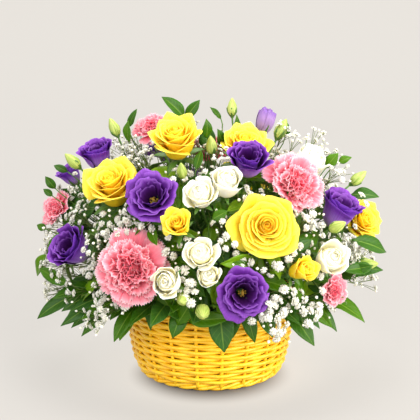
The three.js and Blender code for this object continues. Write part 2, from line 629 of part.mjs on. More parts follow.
// Florets round the end of a branch, each clear of all that stands.
function floretsOn(from, end, [round, above], near) {
  const grown = [];
  for (let turn = 0; turn < gypsophilaHabit.turns && grown.length < gypsophilaHabit.florets; turn++) {
    const swing = rad(turn * goldenAngle);
    const spread = gypsophilaHabit.floretSpread;
    const aside = (spread / Math.cos(rad(above))) * Math.cos(swing);
    const lean = [round + aside, above + spread * Math.sin(swing)];
    const tip = spot([...lean, gypsophilaHabit.floretReach + 3 * (turn % 3)]);
    const foot = end.clone().lerp(from, 0.01 + 0.05 * grown.length);
    const solid = floretSolid(foot, tip);
    const guard = floretSolid(foot.clone().lerp(tip, 0.3), moved(tip, bearing(lean), clearance));
    if (!isClear(solid) || !misses(guard, [...near, ...grown.map((one) => one.guard)])) continue;
    grown.push({ solid, guard });
  }
  return grown;
}

// Baby's breath fills the room that the blooms leave. Branches are tried over the spray's slice by the golden
// angle, and one that is clear, with two florets or more, grows.
function standGypsophila() {
  const { fork, lowest, highest, branches, branchReach, branchRadius, longest, places } = gypsophilaHabit;
  for (const spray of gypsophilaSprays) {
    const way = bearing(spray.stem);
    const top = along(way, fork);
    roots.push({ stem: spray.stem, radius: stemRadius.gypsophila });
    const parts = [tube([along(way, stemStart), top], stemRadius.gypsophila, stemSides)];
    const guards = [];
    let grownBranches = 0;
    for (let k = 0; k < places && grownBranches < branches; k++) {
      const round = spray.from + (((k * goldenAngle) % 360) / 360) * (spray.to - spray.from);
      const above = lowest + (highest - lowest) * ((k * 0.7549) % 1);
      const end = spot([round, above, branchReach]);
      const from = moved(top, way, -1 - forkStep * grownBranches);
      const branch = tube([from, end], branchRadius, branchSides);
      const guard = tube([from.clone().lerp(end, 0.25), end], branchRadius + clearance * 2, branchSides);
      if (end.distanceTo(top) > longest || !isClear(branch)) continue;
      if (!isClear(guard) || !misses(guard, guards)) continue;
      const grown = floretsOn(from, end, [round, above], guards);
      if (grown.length < 2) continue;
      grownBranches += 1;
      guards.push(guard, ...grown.map((one) => one.guard));
      parts.push(branch, ...grown.map((one) => one.solid));
    }
    show(`gypsophila_${spray.name}`, joined(parts), finishes.gypsophila);
  }
}

show('basket', basketSolid(), finishes.wicker);
show('liner', linerSolid(), finishes.liner);
standRoses();
standCarnations();
standLisianthus();
standWhiteSprays();
standLeaves();
standGypsophila();
show('foam', foamSolid(roots), finishes.foam);

export default arrangement;
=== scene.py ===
# A yellow wicker basket of cut flowers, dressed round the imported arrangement.
# Sizes in the dictionaries are millimetres and degrees; makePiece turns them into metres.
import math
from functools import partial
import bpy
import numpy as np
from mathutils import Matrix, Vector


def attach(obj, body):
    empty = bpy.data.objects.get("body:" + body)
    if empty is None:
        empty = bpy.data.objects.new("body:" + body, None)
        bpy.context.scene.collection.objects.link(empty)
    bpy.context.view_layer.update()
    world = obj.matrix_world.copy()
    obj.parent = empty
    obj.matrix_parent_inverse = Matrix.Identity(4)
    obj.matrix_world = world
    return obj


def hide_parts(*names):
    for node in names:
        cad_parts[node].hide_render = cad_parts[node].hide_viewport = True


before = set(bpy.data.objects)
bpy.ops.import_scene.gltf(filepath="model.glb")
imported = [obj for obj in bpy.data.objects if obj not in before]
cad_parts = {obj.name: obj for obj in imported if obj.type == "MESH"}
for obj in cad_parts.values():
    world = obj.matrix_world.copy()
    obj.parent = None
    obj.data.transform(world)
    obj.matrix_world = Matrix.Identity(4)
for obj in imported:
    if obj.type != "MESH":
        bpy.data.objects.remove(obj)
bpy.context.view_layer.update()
print("frame loaded with", len(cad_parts), "nodes")

heart = np.array([0.0, 0.0, 84.0])  # the point inside the foam that every stem aims at
stemStart = 22.0  # from there to a stem's cut end
foamExit = 62.0  # a stem is straight at least this far
goldenAngle = 180 * (3 - math.sqrt(5))
upward = np.array([0.0, 0.0, 1.0])


# Directions and places

def unit(way):
    return way / np.linalg.norm(way)


def bearing(turn, above):
    t, a = math.radians(turn), math.radians(above)
    return np.array([math.sin(t) * math.cos(a), -math.cos(t) * math.cos(a), math.sin(a)])


def spot(at):
    return heart + bearing(at[0], at[1]) * at[2]


def smooth(low, high, value):
    t = np.clip((value - low) / (high - low), 0, 1)
    return t * t * (3 - 2 * t)


def evenAngles(count):
    return np.linspace(0, 2 * math.pi, count, endpoint=False)


def levelAcross(way, steep=0.95):
    # a level direction square to way, or one square to +X where way is too steep for that
    return np.cross(upward if abs(way[2]) < steep else np.array([1.0, 0, 0]), way)


def curve(points, steps):
    # a Bezier curve with these control points, as steps + 1 places
    t = np.linspace(0, 1, steps + 1)[:, None]
    layers = [np.repeat(np.asarray(p, float)[None, :], steps + 1, 0) for p in points]
    while len(layers) > 1:
        layers = [a * (1 - t) + b * t for a, b in zip(layers, layers[1:])]
    return layers[0]


def stand(base, facing, spin=0.0):
    # places points made round +Z so that +Z looks along facing
    turn = Vector((0, 0, 1)).rotation_difference(Vector(facing)).to_matrix()
    c, s = math.cos(math.radians(spin)), math.sin(math.radians(spin))
    grid = np.array(turn) @ np.array([[c, -s, 0], [s, c, 0], [0, 0, 1]])
    return lambda points: points @ grid.T + base


# Mesh heaps. Each point carries four marks that the materials read: along (0 at the root, 1 at the end),
# across (-1 to 1), inside (1 on the upper or inner face) and shade (a number for the whole blade: random, but
# on cups and fans it rises from the heart outwards, and the petals' heart colour, partly painted light,
# follows it).
marks = ("along", "across", "inside", "shade")


def newHeap():
    return {"points": [], "faces": [], "finish": [], "marks": [], "count": 0}


def addPart(heap, points, faces, finish, pointMarks):
    heap["points"].append(np.asarray(points, float))
    heap["marks"].append(np.asarray(pointMarks, float))
    for group in faces:
        heap["faces"].append(np.asarray(group) + heap["count"])
        heap["finish"].append(np.full(len(group), finish))
    heap["count"] += len(points)


def ringWalls(index):
    # the four-sided faces between rings of point numbers
    here, after = index[:-1], index[1:]
    return np.stack([here, np.roll(here, -1, 1), np.roll(after, -1, 1), after], -1).reshape(-1, 4)


def addShell(heap, grid, thickness, finish, shade):
    # a thin closed blade from rows and columns of points; its inner face looks to the side of along x across
    rows, columns = grid.shape[:2]
    alongWay, acrossWay = np.gradient(grid, axis=0), np.gradient(grid, axis=1)
    normal = np.cross(alongWay, acrossWay)
    normal /= np.maximum(np.linalg.norm(normal, axis=2, keepdims=True), 1e-6)
    lift = normal * thickness[:, :, None] / 2
    points = np.concatenate([(grid + lift).reshape(-1, 3), (grid - lift).reshape(-1, 3)])
    index = np.arange(rows * columns).reshape(rows, columns)
    a, b, c, d = index[:-1, :-1], index[:-1, 1:], index[1:, 1:], index[1:, :-1]
    inner = np.stack([a, d, c, b], -1).reshape(-1, 4)
    outer = np.stack([a, b, c, d], -1).reshape(-1, 4) + rows * columns
    rim = np.concatenate([index[0, :], index[1:, -1], index[-1, -2::-1], index[-2:0:-1, 0]])
    ahead = np.roll(rim, -1)
    edge = np.stack([rim, ahead, ahead + rows * columns, rim + rows * columns], -1)
    along = np.repeat(np.linspace(0, 1, rows), columns)
    across = np.tile(np.linspace(-1, 1, columns), rows)
    one = np.ones(rows * columns)
    pointMarks = [np.stack([along, across, one * inside, one * shade], 1) for inside in (1, 0)]
    addPart(heap, points, [inner, outer, edge], finish, np.concatenate(pointMarks))


def addTube(heap, path, radius, finish, sides=5, endRadius=None, shade=0.0, squash=1.0, closed=False):
    # a tube along a path; squash flattens it sideways, closed joins its end to its start
    path = np.asarray(path, float)
    count = len(path)
    ways = np.roll(path, -1, 0) - np.roll(path, 1, 0) if closed else np.gradient(path, axis=0)
    ways /= np.linalg.norm(ways, axis=1, keepdims=True)
    side = levelAcross(ways[0])
    angles = evenAngles(sides)
    radii = np.linspace(radius, radius if endRadius is None else endRadius, count)
    rings = np.zeros((count, sides, 3))
    for k in range(count):
        side = unit(np.cross(upward, ways[k]) if closed else side - ways[k] * np.dot(side, ways[k]))
        other = np.cross(ways[k], side)
        section = np.cos(angles)[:, None] * side * squash + np.sin(angles)[:, None] * other
        rings[k] = path[k] + radii[k] * section
    index = np.arange(count * sides).reshape(count, sides)
    if closed:
        faces = [ringWalls(np.vstack([index, index[:1]]))]
    else:
        faces = [ringWalls(index), [list(index[0][::-1])], [list(index[-1])]]
    steps = np.concatenate([[0], np.cumsum(np.linalg.norm(np.diff(path, axis=0), axis=1))])
    pointMarks = np.stack([np.repeat(steps / 10, sides), np.tile(np.cos(angles), count),
                           np.ones(count * sides), np.full(count * sides, shade)], 1)
    addPart(heap, rings.reshape(-1, 3), faces, finish, pointMarks)


def addTurned(heap, place, profile, finish, sides=8, shade=0.0, swell=None):
    # a closed body turned round +Z from (radius, height) pairs; swell(angle, share of height) bulges it
    rings = []
    angles = evenAngles(sides)
    for k, (radius, height) in enumerate(profile):
        reach = radius * (swell(angles, k / (len(profile) - 1)) if swell else np.ones(sides))
        rings.append(np.stack([reach * np.cos(angles), reach * np.sin(angles), np.full(sides, height)], 1))
    points = np.concatenate(rings + [[[0, 0, profile[0][1]]], [[0, 0, profile[-1][1]]]])
    index = np.arange(len(profile) * sides).reshape(-1, sides)
    foot, tip = len(profile) * sides, len(profile) * sides + 1
    ends = [[foot, b, a] for a, b in zip(index[0], np.roll(index[0], -1))]
    ends += [[tip, a, b] for a, b in zip(index[-1], np.roll(index[-1], -1))]
    share = np.append(np.repeat(np.linspace(0, 1, len(profile)), sides), [0, 1])
    wrap = np.append(np.tile(np.cos(angles), len(profile)), [0, 0])
    pointMarks = np.stack([share, wrap, np.ones(len(share)), np.full(len(share), shade)], 1)
    addPart(heap, place(points), [ringWalls(index), ends], finish, pointMarks)


def makePiece(name, heap, finishes, replaced):
    mesh = bpy.data.meshes.new(name)
    faces = [face for group in heap["faces"] for face in group.tolist()]
    mesh.from_pydata((np.concatenate(heap["points"]) * 0.001).tolist(), [], faces)
    mesh.polygons.foreach_set("material_index", np.concatenate(heap["finish"]).astype(np.int32))
    mesh.polygons.foreach_set("use_smooth", np.ones(len(faces), bool))
    columns = np.concatenate(heap["marks"]).astype(np.float32).T
    for mark, column in zip(marks, columns):
        mesh.attributes.new(mark, "FLOAT", "POINT").data.foreach_set("value", column.copy())
    for finish in finishes:
        mesh.materials.append(finish)
    mesh.update()
    piece = bpy.data.objects.new(name, mesh)
    bpy.context.scene.collection.objects.link(piece)
    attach(piece, "root")
    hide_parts(*replaced)


# Materials

def fromHex(code):
    parts = [int(code[k:k + 2], 16) / 255 for k in (0, 2, 4)]
    return [p / 12.92 if p <= 0.04045 else ((p + 0.055) / 1.055) ** 2.4 for p in parts] + [1.0]


def setInputs(node, inputs):
    # each input gets a plain value, or a link from another node's output
    for name, value in inputs.items() if isinstance(inputs, dict) else enumerate(inputs):
        if hasattr(value, "is_output"):
            node.id_data.links.new(value, node.inputs[name])
        else:
            node.inputs[name].default_value = value


def addNode(tree, kind, inputs=(), output=0, stops=(), **settings):
    # one node with its settings and links, and a ramp's colours as (place, hex) stops; gives back one output
    node = tree.nodes.new("ShaderNode" + kind)
    for name, value in settings.items():
        setattr(node, name, value)
    if stops:
        points = node.color_ramp.elements
        while len(points) < len(stops):
            points.new(0.5)
        for point, (place, code) in zip(points, stops):
            point.position = place
            point.color = fromHex(code)
    setInputs(node, inputs)
    return node.outputs[output]


def newFinish(name):
    finish = bpy.data.materials.new(name)
    finish.use_nodes = True
    tree = finish.node_tree
    return finish, tree.nodes["Principled BSDF"], partial(addNode, tree)


def grainPlace(add, stretch):
    # a place in a blade's or a rod's own grain: across, along, and its random number, which sets it apart
    place = [add("Attribute", output="Fac", attribute_name=mark) for mark in ("across", "along", "shade")]
    return add("VectorMath", [add("CombineXYZ", place), stretch], operation="MULTIPLY")


# Petals: living plant tissue, thin and full of water. Light goes in and glows through the edges, the surface
# is velvety from its cells, and fine veins run from the claw to the rim.
# heart: colour and share for petals near the heart, partly their own colour, partly painted light in the
# folds
petalLooks = {
    "yellowRosePetal": {
        "inner": [(0.0, "FF9800"), (0.3, "FFB206"), (0.65, "FFD01C"), (1.0, "FFE252")],
        "outer": [(0.0, "F0B42A"), (0.2, "FFBC1E"), (0.6, "FFCC24"), (1.0, "FFE052")],
        "heart": ("FFB80A", 0.6), "roughness": 0.5, "glow": 0.4, "glowRadius": (0.003, 0.0014, 0.0003),
        "veins": 0.05, "depth": 0.02},
    "pinkCarnationPetal": {
        "inner": [(0.0, "D83850"), (0.5, "EC6478"), (0.8, "F28492"), (0.94, "F6A0AA"), (1.0, "FAC0C6")],
        "outer": [(0.0, "D8607A"), (0.6, "EE808E"), (1.0, "F6AAB0")],
        "heart": ("E43456", 0.72), "roughness": 0.62, "glow": 0.4, "glowRadius": (0.003, 0.0008, 0.0009),
        "veins": 0.14, "depth": 0.02},
    "purpleLisianthusPetal": {
        "inner": [(0.0, "180216"), (0.35, "300842"), (0.65, "430E5A"), (0.88, "5C2284"), (1.0, "8048A8")],
        "outer": [(0.0, "94A070"), (0.22, "A48CB4"), (0.5, "9066BE"), (0.82, "6C30A8"), (1.0, "62309A")],
        "heart": ("2A0638", 0.4), "roughness": 0.55, "glow": 0.1, "glowRadius": (0.001, 0.0004, 0.001),
        "veins": 0.42, "depth": 0.1},
    "lilacPetal": {
        "inner": [(0.0, "8A9A5A"), (0.3, "7E5C98"), (1.0, "9A74B4")],
        "outer": [(0.0, "A2A870"), (0.22, "A890B4"), (0.7, "9C7AB6"), (1.0, "74509A")],
        "heart": ("8A68A4", 0.4), "roughness": 0.5, "glow": 0.15, "glowRadius": (0.001, 0.0008, 0.0012),
        "veins": 0.2, "depth": 0.05},
    "whiteRosePetal": {
        "inner": [(0.0, "F6E492"), (0.4, "FAF0BA"), (0.75, "FAF4D2"), (1.0, "F8F4DA")],
        "outer": [(0.0, "D2D284"), (0.3, "F6EBC0"), (0.8, "F8F2D2"), (1.0, "F8F4DA")],
        "heart": ("FCEEB6", 0.7), "roughness": 0.55, "glow": 0.7, "glowRadius": (0.005, 0.004, 0.002),
        "veins": 0.03, "depth": 0.02},
    "gypsophilaPetal": {
        "inner": [(0.0, "C8CC90"), (0.3, "ECEAD8"), (1.0, "F8F6EC")],
        "outer": [(0.0, "B8C088"), (0.4, "E0DEC8"), (1.0, "F0EEE0")],
        "heart": ("E4E2C4", 0.3), "roughness": 0.6, "glow": 0.1, "glowRadius": (0.001, 0.001, 0.0007),
        "veins": 0.02, "depth": 0.08},
}
# veins: how many across, along and from petal to petal; cells are far finer than this: drawn coarse to show
petalGrain = {"veins": (16, 1.2, 40), "cellSize": 0.9, "cellDepth": 0.08, "bumpDepth": 0.12}


def makePetalFinish(name):
    looks = petalLooks[name]
    finish, shader, add = newFinish(name)
    along, inside, shade = [add("Attribute", output="Fac", attribute_name=mark)
                            for mark in ("along", "inside", "shade")]
    veins = add("TexNoise", {"Vector": grainPlace(add, petalGrain["veins"]), "Scale": 1.0, "Detail": 2.0})
    body = add("TexCoord", output="Object")
    cells = add("TexNoise", {"Vector": body, "Scale": 1000 / petalGrain["cellSize"] / 4, "Detail": 3.0})
    outer, inner = [add("ValToRGB", [along], stops=looks[side]) for side in ("outer", "inner")]
    colour = add("Mix", {0: inside, 6: outer, 7: inner}, 2, data_type="RGBA")
    # petals near the heart are more strongly coloured; in the roses and carnations this is partly their own
    # colour and partly painted light, the glow of light through and between the packed petals that lifts the
    # shade in the folds
    deep = add("MapRange", {"Value": shade, "From Min": 0.2, "From Max": -0.8, "To Max": looks["heart"][1]})
    colour = add("Mix", {0: deep, 6: colour, 7: fromHex(looks["heart"][0])}, 2, data_type="RGBA")
    streak = add("Math", [veins, looks["veins"] * 2, 1 - looks["veins"]], operation="MULTIPLY_ADD")
    tint = add("Math", [shade, looks["depth"], 1.0], operation="MULTIPLY_ADD")
    cellDepth = petalGrain["cellDepth"]
    grain = add("Math", [cells, cellDepth, 1 - cellDepth / 2], operation="MULTIPLY_ADD")
    value = add("Math", [streak, add("Math", [tint, grain], operation="MULTIPLY")], operation="MULTIPLY")
    height = add("Math", [veins, add("Math", [cells, 0.5], operation="MULTIPLY")], operation="ADD")
    bumpDepth = petalGrain["bumpDepth"] * 0.001
    setInputs(shader, {
        "Base Color": add("HueSaturation", {"Color": colour, "Value": value}),
        "Roughness": add("Math", [veins, 0.16, looks["roughness"] - 0.08], operation="MULTIPLY_ADD"),
        "Normal": add("Bump", {"Strength": 0.35, "Distance": bumpDepth, "Height": height}),
        "Specular IOR Level": 0.3,  # velvet of cells hides most of the skin's gloss
        "Subsurface Weight": looks["glow"], "Subsurface Radius": looks["glowRadius"], "Subsurface Scale": 1.0,
        "IOR": 1.4})
    return finish


petals = {name: makePetalFinish(name) for name in petalLooks}

# Leaves of ruscus kind: a leathery blade with a waxy skin. The eye sees a deep green with soft pale
# reflections, a paler midrib, thin side veins that run forward, and a dull grey-green underside.
leafLooks = {"tones": [(0.0, "30581C"), (0.35, "2E5800"), (0.65, "4A7400"), (1.0, "72960A")],
             "vein": "86A43C", "under": "6E8C3E", "sideVeins": 8, "slant": 1.9, "ribWidth": (0.03, 0.09),
             "veinWidth": 0.09, "roughness": 0.3, "underRoughness": 0.6}


def makeLeafFinish():
    looks = leafLooks
    finish, shader, add = newFinish("waxyLeaf")
    along, across, inside, shade = [add("Attribute", output="Fac", attribute_name=mark) for mark in marks]
    mottle = add("TexNoise", {"Vector": add("TexCoord", output="Object"), "Scale": 90.0, "Detail": 4.0})
    pick = add("MapRange", {"Value": shade, "From Min": -1.0, "From Max": 1.0})
    waver = add("Math", [mottle, 0.3, -0.15], operation="MULTIPLY_ADD")
    blade = add("ValToRGB", [add("Math", [pick, waver], operation="ADD")], stops=looks["tones"])
    # the midrib, and the side veins at even steps along a slant
    aside = add("Math", [across], operation="ABSOLUTE")
    rib = add("MapRange", {"Value": aside, "From Min": looks["ribWidth"][0], "From Max": looks["ribWidth"][1],
                           "To Min": 1.0, "To Max": 0.0})
    back = add("Math", [aside, -looks["slant"]], operation="MULTIPLY")
    rows = add("Math", [along, looks["sideVeins"], back], operation="MULTIPLY_ADD")
    offset = add("Math", [add("Math", [rows], operation="FRACT"), 0.5], operation="SUBTRACT")
    near = add("Math", [offset], operation="ABSOLUTE")
    side = add("MapRange", {"Value": near, "From Max": looks["veinWidth"], "To Min": 1.0, "To Max": 0.0})
    lines = add("Math", [rib, add("Math", [side, 0.4], operation="MULTIPLY")], operation="MAXIMUM")
    vein = fromHex(looks["vein"])
    bold, faint = [add("Math", [lines, strength], operation="MULTIPLY") for strength in (0.5, 0.45)]
    under = add("Mix", {0: bold, 6: fromHex(looks["under"]), 7: vein}, 2, data_type="RGBA")
    upper = add("Mix", {0: faint, 6: blade, 7: vein}, 2, data_type="RGBA")
    rough = add("Math", [inside, looks["roughness"] - looks["underRoughness"], looks["underRoughness"]],
                operation="MULTIPLY_ADD")
    height = add("Math", [add("Math", [mottle, 0.5], operation="MULTIPLY"), lines], operation="SUBTRACT")
    setInputs(shader, {
        "Base Color": add("Mix", {0: inside, 6: under, 7: upper}, 2, data_type="RGBA"),
        "Roughness": add("Math", [rough, add("Math", [mottle, 0.12], operation="MULTIPLY")], operation="ADD"),
        "Normal": add("Bump", {"Strength": 0.5, "Distance": 0.0003, "Height": height}),
        "Specular IOR Level": 0.28, "Subsurface Weight": 0.08, "Subsurface Radius": (0.001, 0.003, 0.0005),
        "Subsurface Scale": 1.0, "IOR": 1.4})
    return finish


# Green stems, hips and sepals: smooth waxy skin with lengthwise streaks.
greenLooks = {"stemGreen": {"dark": "345E16", "light": "608632", "roughness": 0.42},
              "budGreen": {"dark": "7A9828", "light": "C6D074", "roughness": 0.4},
              "paleStalk": {"dark": "3C4C18", "light": "707E3A", "roughness": 0.5}}
stemGrain = (5, 1.5, 30)  # how many streaks, as the petals' veins


def makeGreenFinish(name):
    looks = greenLooks[name]
    finish, shader, add = newFinish(name)
    streaks = add("TexNoise", {"Vector": grainPlace(add, stemGrain), "Scale": 1.3, "Detail": 3.0})
    setInputs(shader, {
        "Base Color": add("ValToRGB", [streaks], stops=[(0.3, looks["dark"]), (0.7, looks["light"])]),
        "Roughness": add("Math", [streaks, 0.15, looks["roughness"]], operation="MULTIPLY_ADD"),
        "Normal": add("Bump", {"Strength": 0.3, "Distance": 0.0002, "Height": streaks}),
        "Subsurface Weight": 0.1, "Subsurface Radius": (0.001, 0.002, 0.0005), "Subsurface Scale": 1.0})
    return finish


# Pollen on the stamens and the sticky stigma of a lisianthus: dull ochre grains.
def makePollenFinish():
    finish, shader, add = newFinish("pollen")
    grains = add("TexNoise", {"Vector": add("TexCoord", output="Object"), "Scale": 1800.0, "Detail": 2.0})
    setInputs(shader, {
        "Base Color": add("ValToRGB", [grains], stops=[(0.3, "6A4E08"), (0.7, "B8902A")]),
        "Normal": add("Bump", {"Strength": 0.6, "Distance": 0.0002, "Height": grains}),
        "Roughness": 0.85})
    return finish


# Willow rods dipped in golden yellow paint: satin, streaked along the grain, browner where the coat is thin
# and dust sits, with small specks.
wickerLooks = {"coat": [(0.25, "E89C08"), (0.45, "F8BE10"), (0.7, "FCD632")], "speck": "A8740F",
               "rodWidth": 2.2, "grainWidth": 0.6, "grainAlong": 0.8, "rodToRod": 17, "roughness": 0.38}


def makeWickerFinish():
    looks = wickerLooks
    finish, shader, add = newFinish("paintedWillow")
    shade = add("Attribute", output="Fac", attribute_name="shade")
    place = grainPlace(add, (looks["rodWidth"] / looks["grainWidth"], looks["grainAlong"], looks["rodToRod"]))
    grain = add("TexNoise", {"Vector": place, "Scale": 1.0, "Detail": 4.0, "Roughness": 0.6})
    body = add("TexCoord", output="Object")
    coat = add("TexNoise", {"Vector": body, "Scale": 60.0, "Detail": 5.0})
    specks = add("TexNoise", {"Vector": body, "Scale": 700.0, "Detail": 1.0})
    worn = add("MapRange", {"Value": specks, "From Min": 0.66, "From Max": 0.76})
    thin = add("Math", [coat, 0.4], operation="MULTIPLY")
    base = add("ValToRGB", [add("Math", [grain, 0.6, thin], operation="MULTIPLY_ADD")], stops=looks["coat"])
    value = add("Math", [shade, 0.06, 1.0], operation="MULTIPLY_ADD")
    tone = add("HueSaturation", {"Color": base, "Value": value})
    speck = add("Math", [worn, 0.35], operation="MULTIPLY")
    height = add("Math", [grain, add("Math", [coat, 0.5], operation="MULTIPLY")], operation="ADD")
    setInputs(shader, {
        "Base Color": add("Mix", {0: speck, 6: tone, 7: fromHex(looks["speck"])}, 2, data_type="RGBA"),
        "Roughness": add("Math", [grain, 0.25, looks["roughness"] - 0.1], operation="MULTIPLY_ADD"),
        "Normal": add("Bump", {"Strength": 0.55, "Distance": 0.0004, "Height": height}),
        "Coat Weight": 0.15, "Coat Roughness": 0.3})
    return finish


# Wet floral foam: phenolic resin blown to fine open cells. The eye sees a dark green, dull, pitted block.
def makeFoamFinish():
    finish, shader, add = newFinish("wetFloralFoam")
    body = add("TexCoord", output="Object")
    damp = add("TexNoise", {"Vector": body, "Scale": 40.0, "Detail": 3.0})
    cells = add("TexVoronoi", {"Vector": body, "Scale": 900.0})
    setInputs(shader, {
        "Base Color": add("ValToRGB", [damp], stops=[(0.3, "1C3A20"), (0.7, "376A3C")]),
        "Normal": add("Bump", {"Strength": 0.8, "Distance": 0.0008, "Height": cells}),
        "Roughness": 0.92})
    return finish


# Liner: vacuum-formed polystyrene sheet, dark green, satin, with faint flow marks.
def makeLinerFinish():
    finish, shader, add = newFinish("formedPolystyrene")
    flow = add("TexNoise", {"Vector": add("TexCoord", output="Object"), "Scale": 25.0, "Detail": 2.0})
    setInputs(shader, {
        "Base Color": add("ValToRGB", [flow], stops=[(0.3, "16241A"), (0.7, "24362A")]),
        "Roughness": add("Math", [flow, 0.2, 0.35], operation="MULTIPLY_ADD"),
        "Normal": add("Bump", {"Strength": 0.2, "Distance": 0.0005, "Height": flow})})
    return finish


leafFinish = makeLeafFinish()
greens = {name: makeGreenFinish(name) for name in greenLooks}
pollen = makePollenFinish()
wicker = makeWickerFinish()
for node, finish in (("foam", makeFoamFinish()), ("liner", makeLinerFinish())):
    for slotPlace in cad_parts[node].material_slots:
        slotPlace.material = finish
print("materials made")

backStart = 120  # degrees round: what stands past it is at the back, and its petals have fewer faces
# how much one petal differs from the next: its size and its claw's lean as shares, the others in degrees
petalPlay = {"size": 0.025, "claw": 0.05, "belly": 2, "rim": 5, "turn": 5}

# Cup shaped blooms. Each value in threes is for the innermost, a middle and the outermost petal, on a bloom
# as wide as "across". half: half the angle a petal wraps; leans: from upright at the claw, the belly and the
# rim; roll: how much more its sides lean; trim: how much shorter its sides are; tip: how far its point stands
# out; core: the outline, as radius and height, of the heart's packed petals, seen as a glow between the rims.
roseCup = {"across": 74, "petals": 36, "grid": (11, 13), "backGrid": (9, 11), "length": (42, 46, 48),
           "root": (0.8, 2.0, 4.0), "half": (150, 76, 54), "leanClaw": (4, 24, 60), "leanBelly": (0, 8, 20),
           "leanRim": (-12, 26, 70), "roll": (0, 14, 40), "trim": (0.06, 0.14, 0.25),
           "pinch": (2.4, 2.2, 1.8), "tip": (0, 0.03, 0.1), "wave": (0.2, 0.7, 1.4), "frill": (0, 0, 0),
           "skew": 1.6, "spread": 0.85, "thickness": 0.5,
           "core": [(2, 6), (6, 14), (9, 24), (9.5, 31), (7, 34.5), (3.5, 36), (0.5, 36.4)]}
roseBowl = dict(roseCup, across=76, petals=23, length=(40, 44, 46), half=(150, 84, 66), leanClaw=(4, 26, 66),
                leanBelly=(0, 4, 10), leanRim=(-12, 30, 60), roll=(0, 12, 40), trim=(0.06, 0.14, 0.26),
                pinch=(2.4, 2.0, 1.8), tip=(0, 0.03, 0.12))
sprayRoseCup = {"across": 34, "petals": 14, "grid": (9, 13), "length": (27, 25, 24), "root": (0.4, 1.0, 1.8),
                "half": (130, 84, 70), "leanClaw": (28, 50, 76), "leanBelly": (-4, 0, 10),
                "leanRim": (-42, -22, 44), "roll": (0, 8, 22), "trim": (0.06, 0.12, 0.18),
                "pinch": (2.4, 2.8, 2.8), "tip": (0, 0, 0), "wave": (0.2, 0.6, 1.2), "frill": (0, 0.1, 0.3),
                "skew": 1.2, "spread": 1.0, "thickness": 0.6,
                "core": [(1, 2), (5.5, 6), (8.5, 11), (9, 15), (7.5, 19), (4.8, 21.6), (0.5, 22.6)]}
closedSprayRoseCup = dict(sprayRoseCup, across=31, leanRim=(-42, -20, 10), length=(27, 27, 27))
yellowSprayCup = dict(sprayRoseCup, across=40, petals=16, length=(27, 29, 30), root=(0.4, 0.9, 1.6),
                      leanClaw=(4, 24, 50), leanBelly=(0, 2, 6), leanRim=(-14, 16, 56), roll=(0, 12, 40),
                      trim=(0.06, 0.16, 0.3), pinch=(2.4, 2.0, 1.7), tip=(0, 0.02, 0.08), skew=0.8,
                      spread=0.95, thickness=0.4,
                      core=[(1, 2), (3, 8), (4.6, 14), (4.8, 19), (3, 22), (0.5, 23)])
closedYellowSprayCup = dict(yellowSprayCup, leanRim=(-14, 2, 30))
lisianthusCup = {"across": 56, "petals": 15, "grid": (10, 21), "backGrid": (8, 17), "length": (31, 36, 39),
                 "root": (3.0, 3.4, 4.0), "half": (66, 62, 60), "leanClaw": (16, 24, 36),
                 "leanBelly": (18, 24, 32), "leanRim": (2, 46, 86), "roll": (6, 16, 20),
                 "trim": (0.06, 0.08, 0.1), "pinch": (4, 4, 4), "tip": (0, 0, 0), "wave": (0.6, 1.0, 1.5),
                 "frill": (0.6, 0.9, 1.2), "skew": 1.4, "spread": 1.0, "thickness": 0.4}
lisianthusBowl = dict(lisianthusCup, petals=12, length=(30, 36, 40), half=(76, 70, 64), leanClaw=(22, 36, 62),
                      leanBelly=(6, 6, 6), leanRim=(-6, 14, 42), roll=(0, 6, 12), frill=(0.5, 0.8, 1.0),
                      wave=(0.5, 1.0, 1.4))
lilacCup = dict(lisianthusCup, petals=7, length=(38, 39, 37), root=(1.5, 2, 2.4), half=(88, 80, 74),
                leanClaw=(36, 40, 46), leanBelly=(-4, 0, 2), leanRim=(-56, -44, -24), roll=(0, 6, 26),
                trim=(0.06, 0.12, 0.2), pinch=(3, 2.6, 2.4), wave=(0.4, 0.8, 1.2), skew=2.4)


def asPlaced(shape, at):
    return dict(shape, grid=shape["backGrid"]) if abs(at[0]) > backStart else shape


